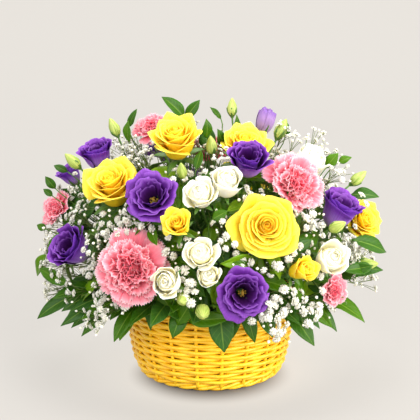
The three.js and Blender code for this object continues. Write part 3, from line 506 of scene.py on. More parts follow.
def addCup(heap, place, cup, across, finish, seed):
    dice = np.random.default_rng(seed)
    scale = across / cup["across"]
    rows, columns = cup["grid"]
    u = np.linspace(-1, 1, columns)[None, :]  # across a petal
    v = np.linspace(0, 1, rows)[:, None]  # along it
    for k in range(cup["petals"]):
        t = ((k + 0.5) / cup["petals"]) ** cup["spread"]  # from 0 at the heart to 1 outside
        pick = lambda name: float(np.interp(t, (0, 0.5, 1), cup[name]))
        size = dice.normal(1, petalPlay["size"])
        claw = pick("leanClaw") * dice.normal(1, petalPlay["claw"])
        belly = pick("leanBelly") + dice.normal(0, petalPlay["belly"])
        rim = pick("leanRim") + dice.normal(0, petalPlay["rim"]) * t
        lean = claw + (belly - claw) * smooth(0, 0.62, v) + (rim - belly) * smooth(0.5, 1.0, v)
        lean = np.radians(lean + pick("roll") * np.abs(u) ** 2 * smooth(0.5, 1.0, v))
        length = pick("length") * size * (1 - pick("trim") * np.abs(u) ** pick("pinch")
                                          + pick("tip") * np.maximum(0, 1 - np.abs(u) * 2.4) ** 1.3)
        step = length / (rows - 1)
        middle = (lean[1:] + lean[:-1]) / 2
        start = np.zeros((1, columns))
        reach = pick("root") + np.concatenate([start, np.cumsum(np.sin(middle) * step, 0)])
        height = np.concatenate([start, np.cumsum(np.cos(middle) * step, 0)])
        # a slow wave over the whole petal and a quick frill along its rim
        phase = dice.uniform(0, 6.28, 4)
        flutter = pick("wave") * v ** 2 * (np.sin(3.1 * u + phase[0]) + 0.5 * np.sin(7.3 * u + phase[1]))
        quick = np.sin(9 * u + phase[2]) + 0.5 * np.sin(15 * u + phase[3])
        flutter = flutter + pick("frill") * smooth(0.7, 1, v) * quick
        reach = np.maximum(reach + cup["skew"] * u * v * (0.4 + t) + flutter, 0.3)
        height = height + 0.4 * flutter * smooth(0.3, 1, t)
        wrap = 0.72 + 0.28 * smooth(0, 0.5, v) - 0.1 * v ** 3
        turn = k * goldenAngle + dice.normal(0, petalPlay["turn"])
        angle = math.radians(turn) + math.radians(pick("half")) * u * wrap
        grid = np.stack([reach * np.cos(angle), reach * np.sin(angle), height], -1) * scale
        thickness = cup["thickness"] * (1 - 0.55 * v) * (1 - 0.4 * np.abs(u) ** 4)
        shade = 1.6 * t - 0.8 + dice.uniform(-0.2, 0.2)
        addShell(heap, place(grid), np.maximum(thickness, 0.16), finish, shade)
    # the core takes the heart colour, with its painted light, where the folds between the rims would be in
    # shade
    if "core" in cup:
        addTurned(heap, lambda points: place(points * scale), cup["core"], finish, 16, -0.6)


# Carnations: fans on narrow claws, toothed and ruffled at the rim, packed into a dome. rings: how many petals
# stand in each of the outer, even rings; turned: how far a petal may look aside; core: as above.
carnationFan = {"across": 81, "petals": 62, "grid": (8, 29), "backGrid": (8, 19), "rings": (9, 11, 13),
                "length": (30, 36, 48), "leanClaw": (4, 18, 42), "leanRim": (-10, 44, 104),
                "fan": (34, 30, 25), "ruffle": (4.0, 3.4, 1.5), "folds": (2.0, 1.8, 1.2),
                "turned": (60, 30, 4), "teeth": 0.07, "root": 2.0, "thickness": 0.45,
                "core": [(3, 2), (8, 8), (12, 14), (12, 18), (8, 21), (3, 22)]}
smallCarnationFan = dict(carnationFan, petals=36, grid=(7, 19), rings=(8, 9))


def addFan(heap, place, fan, across, finish, seed):
    dice = np.random.default_rng(seed)
    scale = across / fan["across"]
    turns = [k * math.radians(goldenAngle) for k in range(fan["petals"] - sum(fan["rings"]))]
    for count in fan["rings"]:  # even rings keep the outline round
        first = dice.uniform(0, 2 * math.pi)
        turns += [first + 2 * math.pi * k / count for k in range(count)]
    rows, columns = fan["grid"]
    u = np.linspace(-1, 1, columns)[None, :]
    v = np.interp(np.linspace(0, 1, rows), (0, 0.25, 1), (0, 0.42, 1))[:, None]
    tooth = (np.arange(columns) % 2)[None, :]
    for k in range(fan["petals"]):
        t = (k + 0.5) / fan["petals"]
        pick = lambda name: float(np.interp(t, (0, 0.55, 1), fan[name]))
        length = pick("length") * dice.normal(1, 0.08 - 0.06 * t)
        notch = fan["teeth"] * tooth * dice.uniform(0.4, 1.2, (1, columns)) * smooth(0.8, 1, v)
        reachOut = v * length * (1 - notch - 0.22 * np.abs(u) ** 2.5 * v)
        spread = np.radians(pick("fan")) * u * (0.3 + 0.7 * smooth(0.25, 0.8, v))
        aside, ahead = np.sin(spread) * reachOut, np.cos(spread) * reachOut
        claw = math.radians(pick("leanClaw") + dice.normal(0, 5))
        rim = math.radians(pick("leanRim") + dice.normal(0, 16 - 9 * t))
        bend = (rim - claw) / length
        bend = bend if abs(bend) > 1e-4 else 1e-4
        lean = claw + bend * ahead
        out = (math.cos(claw) - np.cos(lean)) / bend
        rise = (np.sin(lean) - math.sin(claw)) / bend
        phase = dice.uniform(0, 6.28, 3)
        folds = math.pi * pick("folds")
        wide = np.sin(folds * u + phase[0]) + 0.45 * np.sin(folds * 2.3 * u + phase[1])
        ruffle = pick("ruffle") * smooth(0.3, 1, v) * wide
        ruffle = ruffle + 0.7 * smooth(0.4, 1, v) * np.sin(folds * 4 * u + phase[2])
        out, rise = out - np.cos(lean) * ruffle, rise + np.sin(lean) * ruffle
        askew = math.radians(dice.normal(0, pick("turned")))  # inner petals stand every way
        turn = turns[k] + math.radians(dice.normal(0, 4))
        foot = fan["root"] * (0.3 + t) + 9 * (1 - t) * dice.uniform(0, 1)
        x = foot * math.cos(turn) + out * math.cos(turn + askew) - aside * math.sin(turn + askew)
        y = foot * math.sin(turn) + out * math.sin(turn + askew) + aside * math.cos(turn + askew)
        thickness = fan["thickness"] * (1 - 0.5 * v) * np.ones_like(u)
        shade = 1.5 * t - 0.8 + dice.uniform(-0.25, 0.25)
        addShell(heap, place(np.stack([x, y, rise], -1) * scale), thickness, finish, shade)
    crumple = lambda angles, share: 1 + 0.18 * np.sin(5 * angles + 7 * share)
    addTurned(heap, place, np.array(fan["core"]) * scale, finish, 12, 0.0, crumple)


# Stems, hips and sepals. The radii of the stems, and how deep a hip reaches below its bloom.
stems = {"rose": 2.0, "carnation": 1.8, "spray": 1.8, "branch": 1.3, "budStalk": 1.1, "leafy": 1.7,
         "airy": 1.3, "sides": 7, "sunk": 2.0, "forkStep": 3.0}
hips = {"rose": 11.0, "sprayRose": 8.0, "carnation": 17.0, "smallCarnation": 10.0, "lisianthus": 7.0,
        "lilac": 6.0}
# half a hip's width, as a share of its bloom's; the yellow spray roses all have the same, in mm
hipShares = {"rose": 0.11, "whiteRose": 0.12, "carnation": 0.085, "lisianthus": 0.075}
yellowSprayHip = 4.6
bloomMiddle = 0.6  # where a bloom's middle lies, as a share of its height
tallness = {"rose": 0.7, "carnation": 0.58}  # a bloom's height, as a share of its width
# sepals: how many, their length, width, where they start (mm out and up) and how they lean, root and tip
roseSepals = {"count": 5, "length": 15, "width": 4.5, "start": (4.2, -1.5), "leans": (40, 110)}
lisianthusSepals = {"count": 5, "length": 17, "width": 2.6, "start": (3.0, -3), "leans": (40, 10)}
sepalGrid = (8, 5)


def seat(bloom, tall):
    # where a bloom stands; leans is the way it nods, where its stem's hole in the foam was set from faces
    middle, down = spot(bloom["at"]), bloom["across"] * tall * bloomMiddle
    faced = bearing(*bloom["faces"])
    facing = bearing(*bloom.get("leans", bloom["faces"]))
    base = middle - facing * down
    return {"base": base, "facing": facing, "across": bloom["across"], "rooted": middle - faced * down,
            "faced": faced, "place": stand(base, facing, bloom["at"][0] * 7)}


def addStem(heap, bloom, depth, radius, finish):
    top = bloom["base"] + bloom["facing"] * (stems["sunk"] - depth)
    way = unit(bloom["rooted"] + bloom["faced"] * (stems["sunk"] - depth) - heart)
    out = heart + way * foamExit
    pull = np.linalg.norm(top - out) * 0.4
    bend = curve([out, out + way * pull, top - bloom["facing"] * pull, top], 9)
    addTube(heap, np.vstack([[heart + way * stemStart], bend]), radius, finish, stems["sides"])


def addHip(heap, bloom, depth, top, finish, swell=1.15):
    profile = [(top * 0.25, -depth), (top * 0.7 * swell, -depth * 0.82), (top * swell, -depth * 0.5),
               (top * 0.96, -depth * 0.18), (top * 1.02, -0.3)]
    addTurned(heap, bloom["place"], profile, finish, 10)


def addSepals(heap, bloom, sepals, finish, seed):
    # narrow leaves that leave the hip and bend away from it
    dice = np.random.default_rng(seed)
    rows, columns = sepalGrid
    u = np.linspace(-1, 1, columns)[None, :]
    v = np.linspace(0, 1, rows)[:, None]
    first, last = sepals["leans"]
    for k in range(sepals["count"]):
        lean = np.radians(first + (last - first) * v + dice.normal(0, 6))
        step = sepals["length"] / (rows - 1)
        out = sepals["start"][0] + np.concatenate([[[0]], np.cumsum(np.sin(lean[1:]) * step, 0)])
        rise = sepals["start"][1] + np.concatenate([[[0]], np.cumsum(np.cos(lean[1:]) * step, 0)])
        wide = sepals["width"] / 2 * np.sin(np.pi * np.clip(v * 0.86 + 0.14, 0, 1)) ** 0.8 * u
        fold = np.abs(u) * 0.6
        turn = 2 * math.pi * k / sepals["count"] + dice.normal(0, 0.1)
        x = (out - fold) * math.cos(turn) - wide * math.sin(turn)
        y = (out - fold) * math.sin(turn) + wide * math.cos(turn)
        grid = np.stack([x, y, rise + 0 * u], -1)
        addShell(heap, bloom["place"](grid), np.full(sepalGrid, 0.4), finish, dice.uniform(-1, 1))


# The arrangement's own blooms: where each one's middle is (degrees round from the front, degrees above level,
# mm from the heart), the way it faces, and its width. bowl: still a bowl, made that much wider.
roses = [
    {"at": (27, 41, 167), "faces": (12, 24), "leans": (5, 25), "across": 73},
    {"at": (-63, 50, 182), "faces": (-28, 45), "leans": (-22, 56), "across": 64, "bowl": 1.16},
    {"at": (-38, 73, 197), "faces": (-15, 62), "across": 62, "bowl": 1.16},
    {"at": (82, 77.5, 174), "faces": (20, 62), "across": 58, "bowl": 1.2},
    {"at": (93, 26, 189), "faces": (80, 22), "leans": (42, 30), "across": 54, "bowl": 1.08},
    {"at": (160, 38, 170), "faces": (160, 32), "across": 66},
    {"at": (-142, 30, 172), "faces": (-142, 26), "across": 64},
]
sprayRoses = [
    {"at": (-15, 42, 168), "faces": (-12, 42), "across": 35, "cup": yellowSprayCup, "wider": 1.2},
    {"at": (39, 23, 160), "faces": (42, 24), "across": 37, "cup": closedYellowSprayCup, "wider": 1.15},
]
carnations = [
    {"at": (-34, 25, 160), "faces": (-16, 14), "leans": (-3, 20), "across": 78},
    {"at": (53.5, 52, 187), "faces": (32, 38), "leans": (24, 34), "across": 66},
    {"at": (180, 66, 172), "faces": (180, 58), "across": 64},
    {"at": (-90, 30, 200), "faces": (-80, 26), "leans": (-50, 30), "across": 44, "small": True},
    {"at": (-94, 71, 203), "faces": (-70, 62), "leans": (-30, 50), "across": 42, "small": True},
    {"at": (58, 11, 160), "faces": (60, 8), "leans": (32, 8), "across": 38, "small": True},
]
# where each kind's random draws begin
seeds = {"rose": 100, "sprayRose": 140, "sprayRoseSepals": 20, "carnation": 200, "lisianthus": 300,
         "stamens": 330, "lisianthusStem": 400, "lisianthusSepals": 450, "lilac": 480, "white": 500,
         "whiteSepals": 550}

for k, rose in enumerate(roses):
    bloom = seat(rose, tallness["rose"])
    across = rose["across"]
    heap = newHeap()
    cup = roseBowl if "bowl" in rose else asPlaced(roseCup, rose["at"])
    addCup(heap, bloom["place"], cup, across * rose.get("bowl", 1.0), 0, seeds["rose"] + k)
    makePiece(f"yellowRose{k + 1}Petals", heap, [petals["yellowRosePetal"]],
              [f"yellow_rose_{k + 1}_petals"])
    heap = newHeap()
    addStem(heap, bloom, hips["rose"], stems["rose"], 0)
    addHip(heap, bloom, hips["rose"], across * hipShares["rose"], 0)
    sepals = dict(roseSepals, length=across * 0.4, width=8, start=(across * 0.1, -1.5), leans=(60, 120))
    addSepals(heap, bloom, sepals, 0, k)
    makePiece(f"yellowRose{k + 1}Stem", heap, [greens["stemGreen"]], [f"yellow_rose_{k + 1}_stem"])
for k, rose in enumerate(sprayRoses):
    bloom = seat(rose, tallness["rose"])
    heap = newHeap()
    addCup(heap, bloom["place"], rose["cup"], rose["across"] * rose["wider"], 0, seeds["sprayRose"] + k)
    addStem(heap, bloom, hips["sprayRose"], stems["spray"], 1)
    addHip(heap, bloom, hips["sprayRose"], yellowSprayHip, 1)
    addSepals(heap, bloom, roseSepals, 1, seeds["sprayRoseSepals"] + k)
    makePiece(f"yellowSprayRose{k + 1}", heap, [petals["yellowRosePetal"], greens["stemGreen"]],
              [f"yellow_spray_rose_{k + 1}"])
print("roses made")

for k, carnation in enumerate(carnations):
    small = "small" in carnation
    bloom = seat(carnation, tallness["carnation"])
    heads, greenery = newHeap(), newHeap()
    fan = smallCarnationFan if small else asPlaced(carnationFan, carnation["at"])
    addFan(heads, bloom["place"], fan, carnation["across"], 0, seeds["carnation"] + k)
    target, finish = (heads, 1) if small else (greenery, 0)
    depth = hips["smallCarnation" if small else "carnation"]
    addStem(target, bloom, depth, stems["carnation"], finish)
    addHip(target, bloom, depth, carnation["across"] * hipShares["carnation"], finish, 1.0)
    if small:
        makePiece(f"carnation{k + 1}", heads, [petals["pinkCarnationPetal"], greens["stemGreen"]],
                  [f"carnation_{k + 1}"])
    else:
        makePiece(f"carnation{k + 1}Petals", heads, [petals["pinkCarnationPetal"]],
                  [f"carnation_{k + 1}_petals"])
        makePiece(f"carnation{k + 1}Stem", greenery, [greens["stemGreen"]],
                  [f"carnation_{k + 1}_stem"])
print("carnations made")

# Sprays: one stem that forks, with a bloom or a bud on each branch. Buds are closed spindles of twisted
# petals, with an outline in shares of half their width and of their length.
bud = {"slimness": 1.75, "sides": 20, "ridges": 5, "ridgeDepth": 0.13, "twist": 1.1, "sepalLength": 0.55,
       "outline": [(0.3, 0), (0.72, 0.09), (0.95, 0.22), (1.0, 0.34), (0.95, 0.48), (0.82, 0.62),
                   (0.62, 0.76), (0.4, 0.88), (0.2, 0.96), (0.08, 1.0)]}
# on a bloom as wide as "across"; the grain, the ovary and the stigma are outlines, as radius and height
stamens = {"across": 56, "count": 7, "ring": 3.6, "height": 14, "radius": 0.35,
           "grain": [(0.4, -1.5), (0.8, -0.8), (0.85, 0.5), (0.4, 1.4)],
           "ovary": [(1.2, 1.0), (2.6, 4), (2.9, 8), (2.0, 12), (0.9, 14.5), (0.8, 14.5)],
           "stigma": [(0.6, 14.2), (1.98, 15.3), (2.2, 16.5), (1.32, 17.6), (0.5, 17.9)]}


def addBud(heap, base, facing, size, finish, sepalFinish, seed):
    dice = np.random.default_rng(seed)
    length = size * bud["slimness"]

    def swell(angles, share):
        saw = (angles * bud["ridges"] / (2 * math.pi) + share * bud["twist"] * bud["ridges"] / 2) % 1.0
        return 1 + bud["ridgeDepth"] * (saw - 0.6) * min(1, 4 * share)

    place = stand(base, facing, dice.uniform(0, 360))
    profile = [(radius * size / 2, share * length) for radius, share in bud["outline"]]
    addTurned(heap, place, profile, finish, bud["sides"], dice.uniform(-1, 1), swell)
    sepals = {"count": 5, "length": length * bud["sepalLength"], "width": size * 0.3,
              "start": (size * 0.2, -0.6), "leans": (42, -4)}
    addSepals(heap, {"place": place}, sepals, sepalFinish, seed)
    knob = [(1.0, -2.6), (size * 0.17, -1.6), (size * 0.24, 0.4), (size * 0.2, 1.2)]
    addTurned(heap, place, knob, sepalFinish, 8)


def budSeat(fork, around, above, reach, size):
    # a bud's base and the way it looks, half along its stalk and half away from the heart
    middle = spot((around, above, reach))
    facing = unit((unit(middle - fork) + bearing(around, above)) / 2)
    return middle - facing * size * bud["slimness"] / 2, facing


def growSpray(heap, spray, blooms, kind, stemFinish, budFinish, seed):
    way = bearing(*spray["stem"])
    fork = heart + way * spray["fork"]
    addTube(heap, curve([heart + way * stemStart, fork], 6), stems["spray"], stemFinish, stems["sides"])
    ends = []
    for bloom in blooms:
        end = bloom["base"] + bloom["facing"] * (stems["sunk"] - hips[kind])
        ends.append((end, bloom["facing"], stems["branch"]))
    for k, one in enumerate(spray["buds"]):
        base, facing = budSeat(fork, *one)
        ends.append((base + facing * 0.5, facing, stems["budStalk"]))
        addBud(heap, base, facing, one[3], budFinish, stemFinish, seed * 10 + k)
    for k, (end, facing, radius) in enumerate(ends):
        start = fork - way * (1 + stems["forkStep"] * k)
        span = np.linalg.norm(end - start)
        path = curve([start, start + way * span * 0.3, end - facing * span * 0.35, end], 10)
        addTube(heap, path, radius, stemFinish, stems["sides"] - 1)


def addStamens(heap, bloom, seed):
    dice = np.random.default_rng(seed)
    scale = bloom["across"] / stamens["across"]
    place = bloom["place"]
    scaled = lambda points: place(points * scale)
    for k in range(stamens["count"]):
        turn = 2 * math.pi * (k + dice.uniform(-0.2, 0.2)) / stamens["count"]
        ring = stamens["ring"] * dice.uniform(0.85, 1.15)
        height = stamens["height"] * dice.uniform(0.92, 1.08)
        side = np.array([math.cos(turn), math.sin(turn), 0])
        knee = side * 2.0 + upward * height * 0.7
        path = curve([side * 1.4 + upward * 3, knee, side * ring + upward * height], 5)
        addTube(heap, scaled(path), stamens["radius"], 1, 4)
        tilt = stand(scaled(path[-1:])[0], unit(bloom["facing"] * 0.4 + dice.normal(0, 0.5, 3)))
        addTurned(heap, tilt, stamens["grain"], 2, 6)
    addTurned(heap, scaled, stamens["ovary"], 1, 10)
    addTurned(heap, scaled, stamens["stigma"], 2, 12, 0.0, lambda angles, share: 1 + 0.3 * np.cos(2 * angles))


# a bud is degrees round, degrees above, mm from the heart and mm wide; a fork is mm from the heart
lisianthusSprays = [
    {"stem": (-92, 47), "fork": 96, "buds": [(-82, 46.5, 217, 12.5), (-93, 61, 216, 12)],
     "blooms": [{"at": (-88, 53, 202), "faces": (-88, 62), "leans": (-40, 70), "across": 42, "bowl": 1.12},
                {"at": (-98, 40, 205), "faces": (-100, 36), "leans": (-70, 58), "across": 32, "bowl": 1.12}]},
    {"stem": (-33, 52), "fork": 96, "buds": [(-20, 62, 182, 11)],
     "blooms": [{"at": (-33, 51, 175), "faces": (-10, 26), "leans": (-14, 40), "across": 54}]},
    {"stem": (40, 70), "fork": 90, "buds": [(98, 67, 202, 13.5), (2, 77, 184, 12)],
     "blooms": [{"at": (32, 66, 184), "faces": (18, 58), "leans": (8, 56), "across": 52, "bowl": 1.06}]},
    {"stem": (78, 36), "fork": 90, "buds": [(92, 39, 210, 12.5), (60, 33, 184, 12.5), (81, 14, 178, 15)],
     "blooms": [{"at": (74, 36.5, 180), "faces": (76, 36), "leans": (60, 62), "across": 52, "bowl": 1.15}]},
    {"stem": (-68, 24), "fork": 90, "buds": [],
     "blooms": [{"at": (-68, 24, 173), "faces": (-50, 30), "leans": (-45, 35), "across": 50, "bowl": 1.2}]},
    {"stem": (14, 17), "fork": 90, "buds": [],
     "blooms": [{"at": (14, 18, 148), "faces": (8, 14), "across": 53.5}]},
    {"stem": (-170, 30), "fork": 90, "buds": [(-165, 47, 196, 14)],
     "blooms": [{"at": (-172, 32, 168), "faces": (-172, 30), "across": 54},
                {"at": (-148, 58, 176), "faces": (-148, 54), "across": 50}]},
]
# bend: how far before and past the fork, and below the lilac bud, its stalk bends
lilacSpray = {"stem": (138, 66), "fork": 130, "buds": [(151, 76, 210, 11.5)], "bend": (4, 12, 22),
              "lilac": (122, 69, 205, 22), "across": 50, "hip": 3.2,
              "sepals": dict(lisianthusSepals, length=18, width=3, start=(3.0, -2), leans=(34, 6))}
whiteSprays = [
    {"stem": (2, 57), "fork": 92, "buds": [],
     "blooms": [{"at": (-6, 54, 174), "faces": (-6, 46), "across": 40},
                {"at": (10, 57.5, 178), "faces": (14, 52), "across": 34, "closed": True}]},
    {"stem": (-9, 28), "fork": 88, "buds": [(-11, 16, 150, 13.5), (-3, 11, 146, 15)],
     "blooms": [{"at": (-4, 33, 161), "faces": (-4, 30), "across": 40},
                {"at": (-16, 22, 165), "faces": (-14, 20), "across": 32, "closed": True},
                {"at": (-1, 25, 151), "faces": (4, 34), "across": 26, "closed": True}]},
    {"stem": (66, 27), "fork": 88, "buds": [],
     "blooms": [{"at": (86, 54.5, 183), "faces": (80, 48), "leans": (60, 50), "across": 42, "closed": True},
                {"at": (53, 24, 170), "faces": (56, 24), "leans": (24, 28), "across": 36, "closed": True}]},
    {"stem": (-122, 40), "fork": 90, "buds": [],
     "blooms": [{"at": (-122, 45, 178), "faces": (-122, 42), "across": 38},
                {"at": (-108, 20, 178), "faces": (-108, 18), "across": 36}]},
]

number = 0
for k, spray in enumerate(lisianthusSprays):
    blooms = [seat(one, tallness["rose"]) for one in spray["blooms"]]
    for one, bloom in zip(spray["blooms"], blooms):
        number += 1
        heap = newHeap()
        cup = asPlaced(lisianthusBowl if "bowl" in one else lisianthusCup, one["at"])
        across = one["across"] * one.get("bowl", 1.0)
        addCup(heap, bloom["place"], cup, across, 0, seeds["lisianthus"] + number)
        addStamens(heap, bloom, seeds["stamens"] + number)
        finishes = [petals["purpleLisianthusPetal"], greens["budGreen"], pollen]
        makePiece(f"lisianthusBloom{number}", heap, finishes, [f"lisianthus_bloom_{number}"])
    heap = newHeap()
    growSpray(heap, spray, blooms, "lisianthus", 0, 1, seeds["lisianthusStem"] + k)
    for j, bloom in enumerate(blooms):
        addHip(heap, bloom, hips["lisianthus"], bloom["across"] * hipShares["lisianthus"], 0)
        addSepals(heap, bloom, lisianthusSepals, 0, seeds["lisianthusSepals"] + 10 * k + j)
    makePiece(f"lisianthusSpray{k + 1}Stem", heap, [greens["stemGreen"], greens["budGreen"]],
              [f"lisianthus_spray_{k + 1}_stem"])

heap = newHeap()
growSpray(heap, lilacSpray, [], "lisianthus", 0, 1, seeds["lilac"])
way = bearing(*lilacSpray["stem"])
fork = heart + way * lilacSpray["fork"]
base, facing = budSeat(fork, *lilacSpray["lilac"])
lilac = {"place": stand(base, facing)}
addCup(heap, lilac["place"], lilacCup, lilacSpray["across"], 2, seeds["lilac"] + 1)
addHip(heap, lilac, hips["lilac"], lilacSpray["hip"], 0)
addSepals(heap, lilac, lilacSpray["sepals"], 0, seeds["lilac"] + 2)
end = base + facing * (stems["sunk"] - hips["lilac"])
before, past, below = lilacSpray["bend"]
path = curve([fork - way * before, fork + way * past, end - facing * below, end], 9)
addTube(heap, path, stems["branch"], 0, stems["sides"] - 1)
makePiece("lisianthusLilacBuds", heap, [greens["stemGreen"], greens["budGreen"], petals["lilacPetal"]],
          ["lisianthus_lilac_buds"])
print("lisianthus made")

for k, spray in enumerate(whiteSprays):
    blooms = [seat(one, tallness["rose"]) for one in spray["blooms"]]
    heap = newHeap()
    for j, (one, bloom) in enumerate(zip(spray["blooms"], blooms)):
        cup, wider = (closedSprayRoseCup, 1.1) if "closed" in one else (sprayRoseCup, 1.0)
        addCup(heap, bloom["place"], cup, one["across"] * wider, 0, seeds["white"] + 10 * k + j)
        addHip(heap, bloom, hips["sprayRose"], one["across"] * hipShares["whiteRose"], 1)
        addSepals(heap, bloom, dict(roseSepals, start=(one["across"] * 0.11, -1.5)), 1,
                  seeds["whiteSepals"] + 10 * k + j)
    growSpray(heap, spray, blooms, "sprayRose", 1, 2, seeds["white"] + k)
    finishes = [petals["whiteRosePetal"], greens["stemGreen"], greens["budGreen"]]
    makePiece(f"whiteSprayRose{k + 1}", heap, finishes, [f"white_spray_rose_{k + 1}"])
print("white sprays made")

# Where every bloom is, for the leaves and florets that fill the room between them: its middle, the way it
# faces, half its width and how far out it is
everyBloom = roses + sprayRoses + carnations
everyBloom += [one for spray in lisianthusSprays + whiteSprays for one in spray["blooms"]]
bloomPlaces = [(spot(one["at"]), bearing(*one["faces"]), one["across"] / 2, one["at"][2])
               for one in everyBloom]


def bloomReach(way):
    # how far out the blooms reach near a direction
    weights = [max(1e-3, float(np.dot(way, unit(place[0] - heart)))) ** 24 for place in bloomPlaces]
    return sum(weight * place[3] for weight, place in zip(weights, bloomPlaces)) / sum(weights)


# Leaves
leafShape = {"length": 52, "width": 22, "rows": 14, "hiddenRows": 8, "columns": 7, "thickness": 0.7,
             "bend": 34, "fold": 16, "twist": 14, "ripple": 0.8,
             "outline": ((0, 0.07), (0.05, 0.14), (0.15, 0.55), (0.28, 0.88), (0.42, 1.0), (0.56, 0.98),
                         (0.7, 0.82), (0.82, 0.55), (0.91, 0.28), (0.97, 0.1), (1.0, 0.03))}


def addLeaf(heap, root, tip, up, width, finish, dice, lightest=1.0, rows=leafShape["rows"]):
    bend = math.radians(leafShape["bend"] + dice.normal(0, 10))
    chord = tip - root
    length = np.linalg.norm(chord) * (1 + bend ** 2 / 24)
    chord = unit(chord)
    side = unit(np.cross(up, chord))
    up = np.cross(chord, side)
    v, u = np.linspace(0, 1, rows), np.linspace(-1, 1, leafShape["columns"])
    lean = bend * (0.5 - v)
    ways = np.outer(np.cos(lean), chord) + np.outer(np.sin(lean), up)
    normals = np.outer(np.cos(lean), up) - np.outer(np.sin(lean), chord)
    middles = root + np.vstack([[0, 0, 0], np.cumsum((ways[1:] + ways[:-1]) / 2, 0)]) * length / (rows - 1)
    twist = math.radians(dice.normal(0, leafShape["twist"])) * v
    sides = np.cos(twist)[:, None] * side + np.sin(twist)[:, None] * normals
    normals = np.cross(ways, sides)
    share = np.interp(v, *zip(*leafShape["outline"]))
    fold = math.radians(leafShape["fold"] + dice.normal(0, 5))
    ripple = leafShape["ripple"] * np.outer(np.sin(v * 9 + dice.uniform(0, 6)) * share, np.abs(u) * u)
    sway = np.outer(width / 2 * share, u)
    aside, rise = sway * math.cos(fold), np.abs(sway) * math.sin(fold) + ripple
    grid = middles[:, None] + sides[:, None] * aside[:, :, None] + normals[:, None] * rise[:, :, None]
    thickness = np.outer(np.full(rows, leafShape["thickness"]), 1 - 0.6 * u ** 4)
    addShell(heap, grid, thickness, finish, dice.uniform(-1, lightest))


# the leafy stems: degrees round and above
leafyStems = {"front_left": (-50, 9), "front": (2, 6), "front_right": (40, 8), "right": (98, 10),
              "left": (-104, 14), "back": (168, 9), "crown": (-142, 62)}
# overRim: reach and height where a twig passes over the rim; steeper than crownAbove, a leaf is the crown's;
# a twig's middle lies at inside times its leaf's reach
twigs = {"fork": 73, "radius": 1.0, "endRadius": 0.6, "overRim": (97, 103), "crownAbove": 0.77,
         "inside": 0.75}
# tips of the leaves that show, in mm from the middle of the basket's underside, with each leaf's width
shownLeaves = [(-190, -30, 65, 17), (-161, -62, 68, 16), (-152, -40, 58, 16), (-137, -80, 63, 17),
               (-101, -100, 64, 17), (-96, -85, 60, 20), (-67, -97, 92, 20), (-58, -101, 89, 20),
               (-39, -110, 72, 20), (15, -115, 58, 27), (24, -104, 70, 18), (47, -108, 66, 17),
               (66, -100, 69, 18), (111, -85, 54, 25), (131, -70, 69, 16), (137, -60, 61, 15),
               (168, -50, 68, 24), (190, -20, 118, 20), (174, -60, 136, 20), (-168, -70, 102, 20)]
# tip, root and width of the leaves that show above, beside and between the blooms
placedLeaves = [((-52, 0, 307), (-28, 8, 282), 15), ((-11, 10, 302), (-27, 10, 281), 11),
                ((-79, 5, 293), (-88, 8, 272), 8), ((-88, -10, 283), (-87, -8, 259), 10),
                ((-4, -25, 288), (-4, -20, 266), 11), ((8, -10, 274), (13, 0, 254), 11),
                ((0, 10, 294), (12, 14, 280), 6), ((83, 12, 278), (82, 14, 259), 9),
                ((140, 5, 244), (127, 5, 227), 12), ((156, 15, 237), (141, 15, 231), 9),
                ((185, -5, 197), (154, 0, 198), 16), ((192, -25, 140), (152, -45, 160), 19),
                ((175, -40, 127), (140, -70, 133), 13), ((-171, 5, 230), (-156, 5, 223), 8),
                ((-180, 0, 219), (-169, 0, 205), 9), ((-182, -5, 206), (-172, -5, 198), 7),
                ((-191, 0, 164), (-181, 0, 159), 8), ((-178, -25, 138), (-147, -35, 169), 15),
                ((-191, -10, 108), (-179, -20, 137), 14), ((-185, -35, 125), (-150, -60, 114), 14),
                ((-123, -51, 179), (-95, -75, 179), 14), ((-123, -80, 148), (-121, -50, 165), 12),
                ((-40, -86, 222), (-33, -95, 206), 12), ((-62, -97, 198), (-46, -95, 194), 12),
                ((-54, -117, 175), (-61, -91, 186), 11), ((18, -105, 208), (2, -106, 199), 11),
                ((2, -71, 241), (-9, -70, 230), 9), ((106, -85, 172), (86, -95, 162), 11),
                ((-9, -48, 259), (-15, -63, 241), 9), ((23, -127, 160), (41, -118, 151), 10),
                ((-72, -85, 209), (-86, -76, 193), 12)]
# dark leaves deep behind the florets, in the same way; their tones are held to the darkest greens as painted
# shade
deepLeaves = [((-165, 20, 200), (-134, 0, 173), 24), ((-164, 5, 174), (-132, -15, 164), 24),
              ((-125, 0, 205), (-140, -20, 170), 22), ((-156, 10, 188), (-124, -10, 180), 24),
              ((-148, 15, 206), (-138, 5, 180), 22), ((2, 0, 272), (-4, -5, 250), 16),
              ((-8, 6, 268), (-3, 5, 250), 14)]
# tips of the leaves that stand up from the crown
crownLeaf = {"tips": [(30, 60, 276), (-40, 80, 270), (-20, 120, 258), (60, 110, 258)], "length": 37,
             "width": 14}
# leaves in the gaps between the blooms: degrees round, degrees above, mm from the heart
innerLeaves = [(-31, 47, 150), (-21, 55, 156), (7, 52, 148), (52, 33, 150), (32, 29, 140), (13, 31, 145),
               (44, 38, 142), (-43, 40, 150), (-82, 30, 160), (-60, 60, 160), (-90, 56, 168), (-64, 44, 150),
               (-52, 66, 160), (84, 60, 165), (72, 58, 160), (88, 32, 165), (-70, 38, 140), (-66, 34, 146),
               (-74, 44, 148), (-72, 30, 150), (90, 71, 138), (74, 68, 146)]
# and the rest by rule: how many under the blooms, how far below them, and the least reach
filling = {"under": 190, "below": (24, 62), "least": 108, "seed": 7}
# the collar round the rim: how far out its tips are in front, how much farther beside and at most behind, and
# between which heights they are; the lowest is higher in front than elsewhere
collar = {"count": 50, "reach": 118, "wider": 40, "play": 12, "backReach": 146, "lowest": (88, 66),
          "highest": 112}


def leafBranchFor(point):
    # the leafy stem that is nearest, going round
    turn = math.degrees(math.atan2(point[0], -point[1]))
    apart = lambda name: abs((turn - leafyStems[name][0] + 180) % 360 - 180)
    return min((name for name in leafyStems if name != "crown"), key=apart)


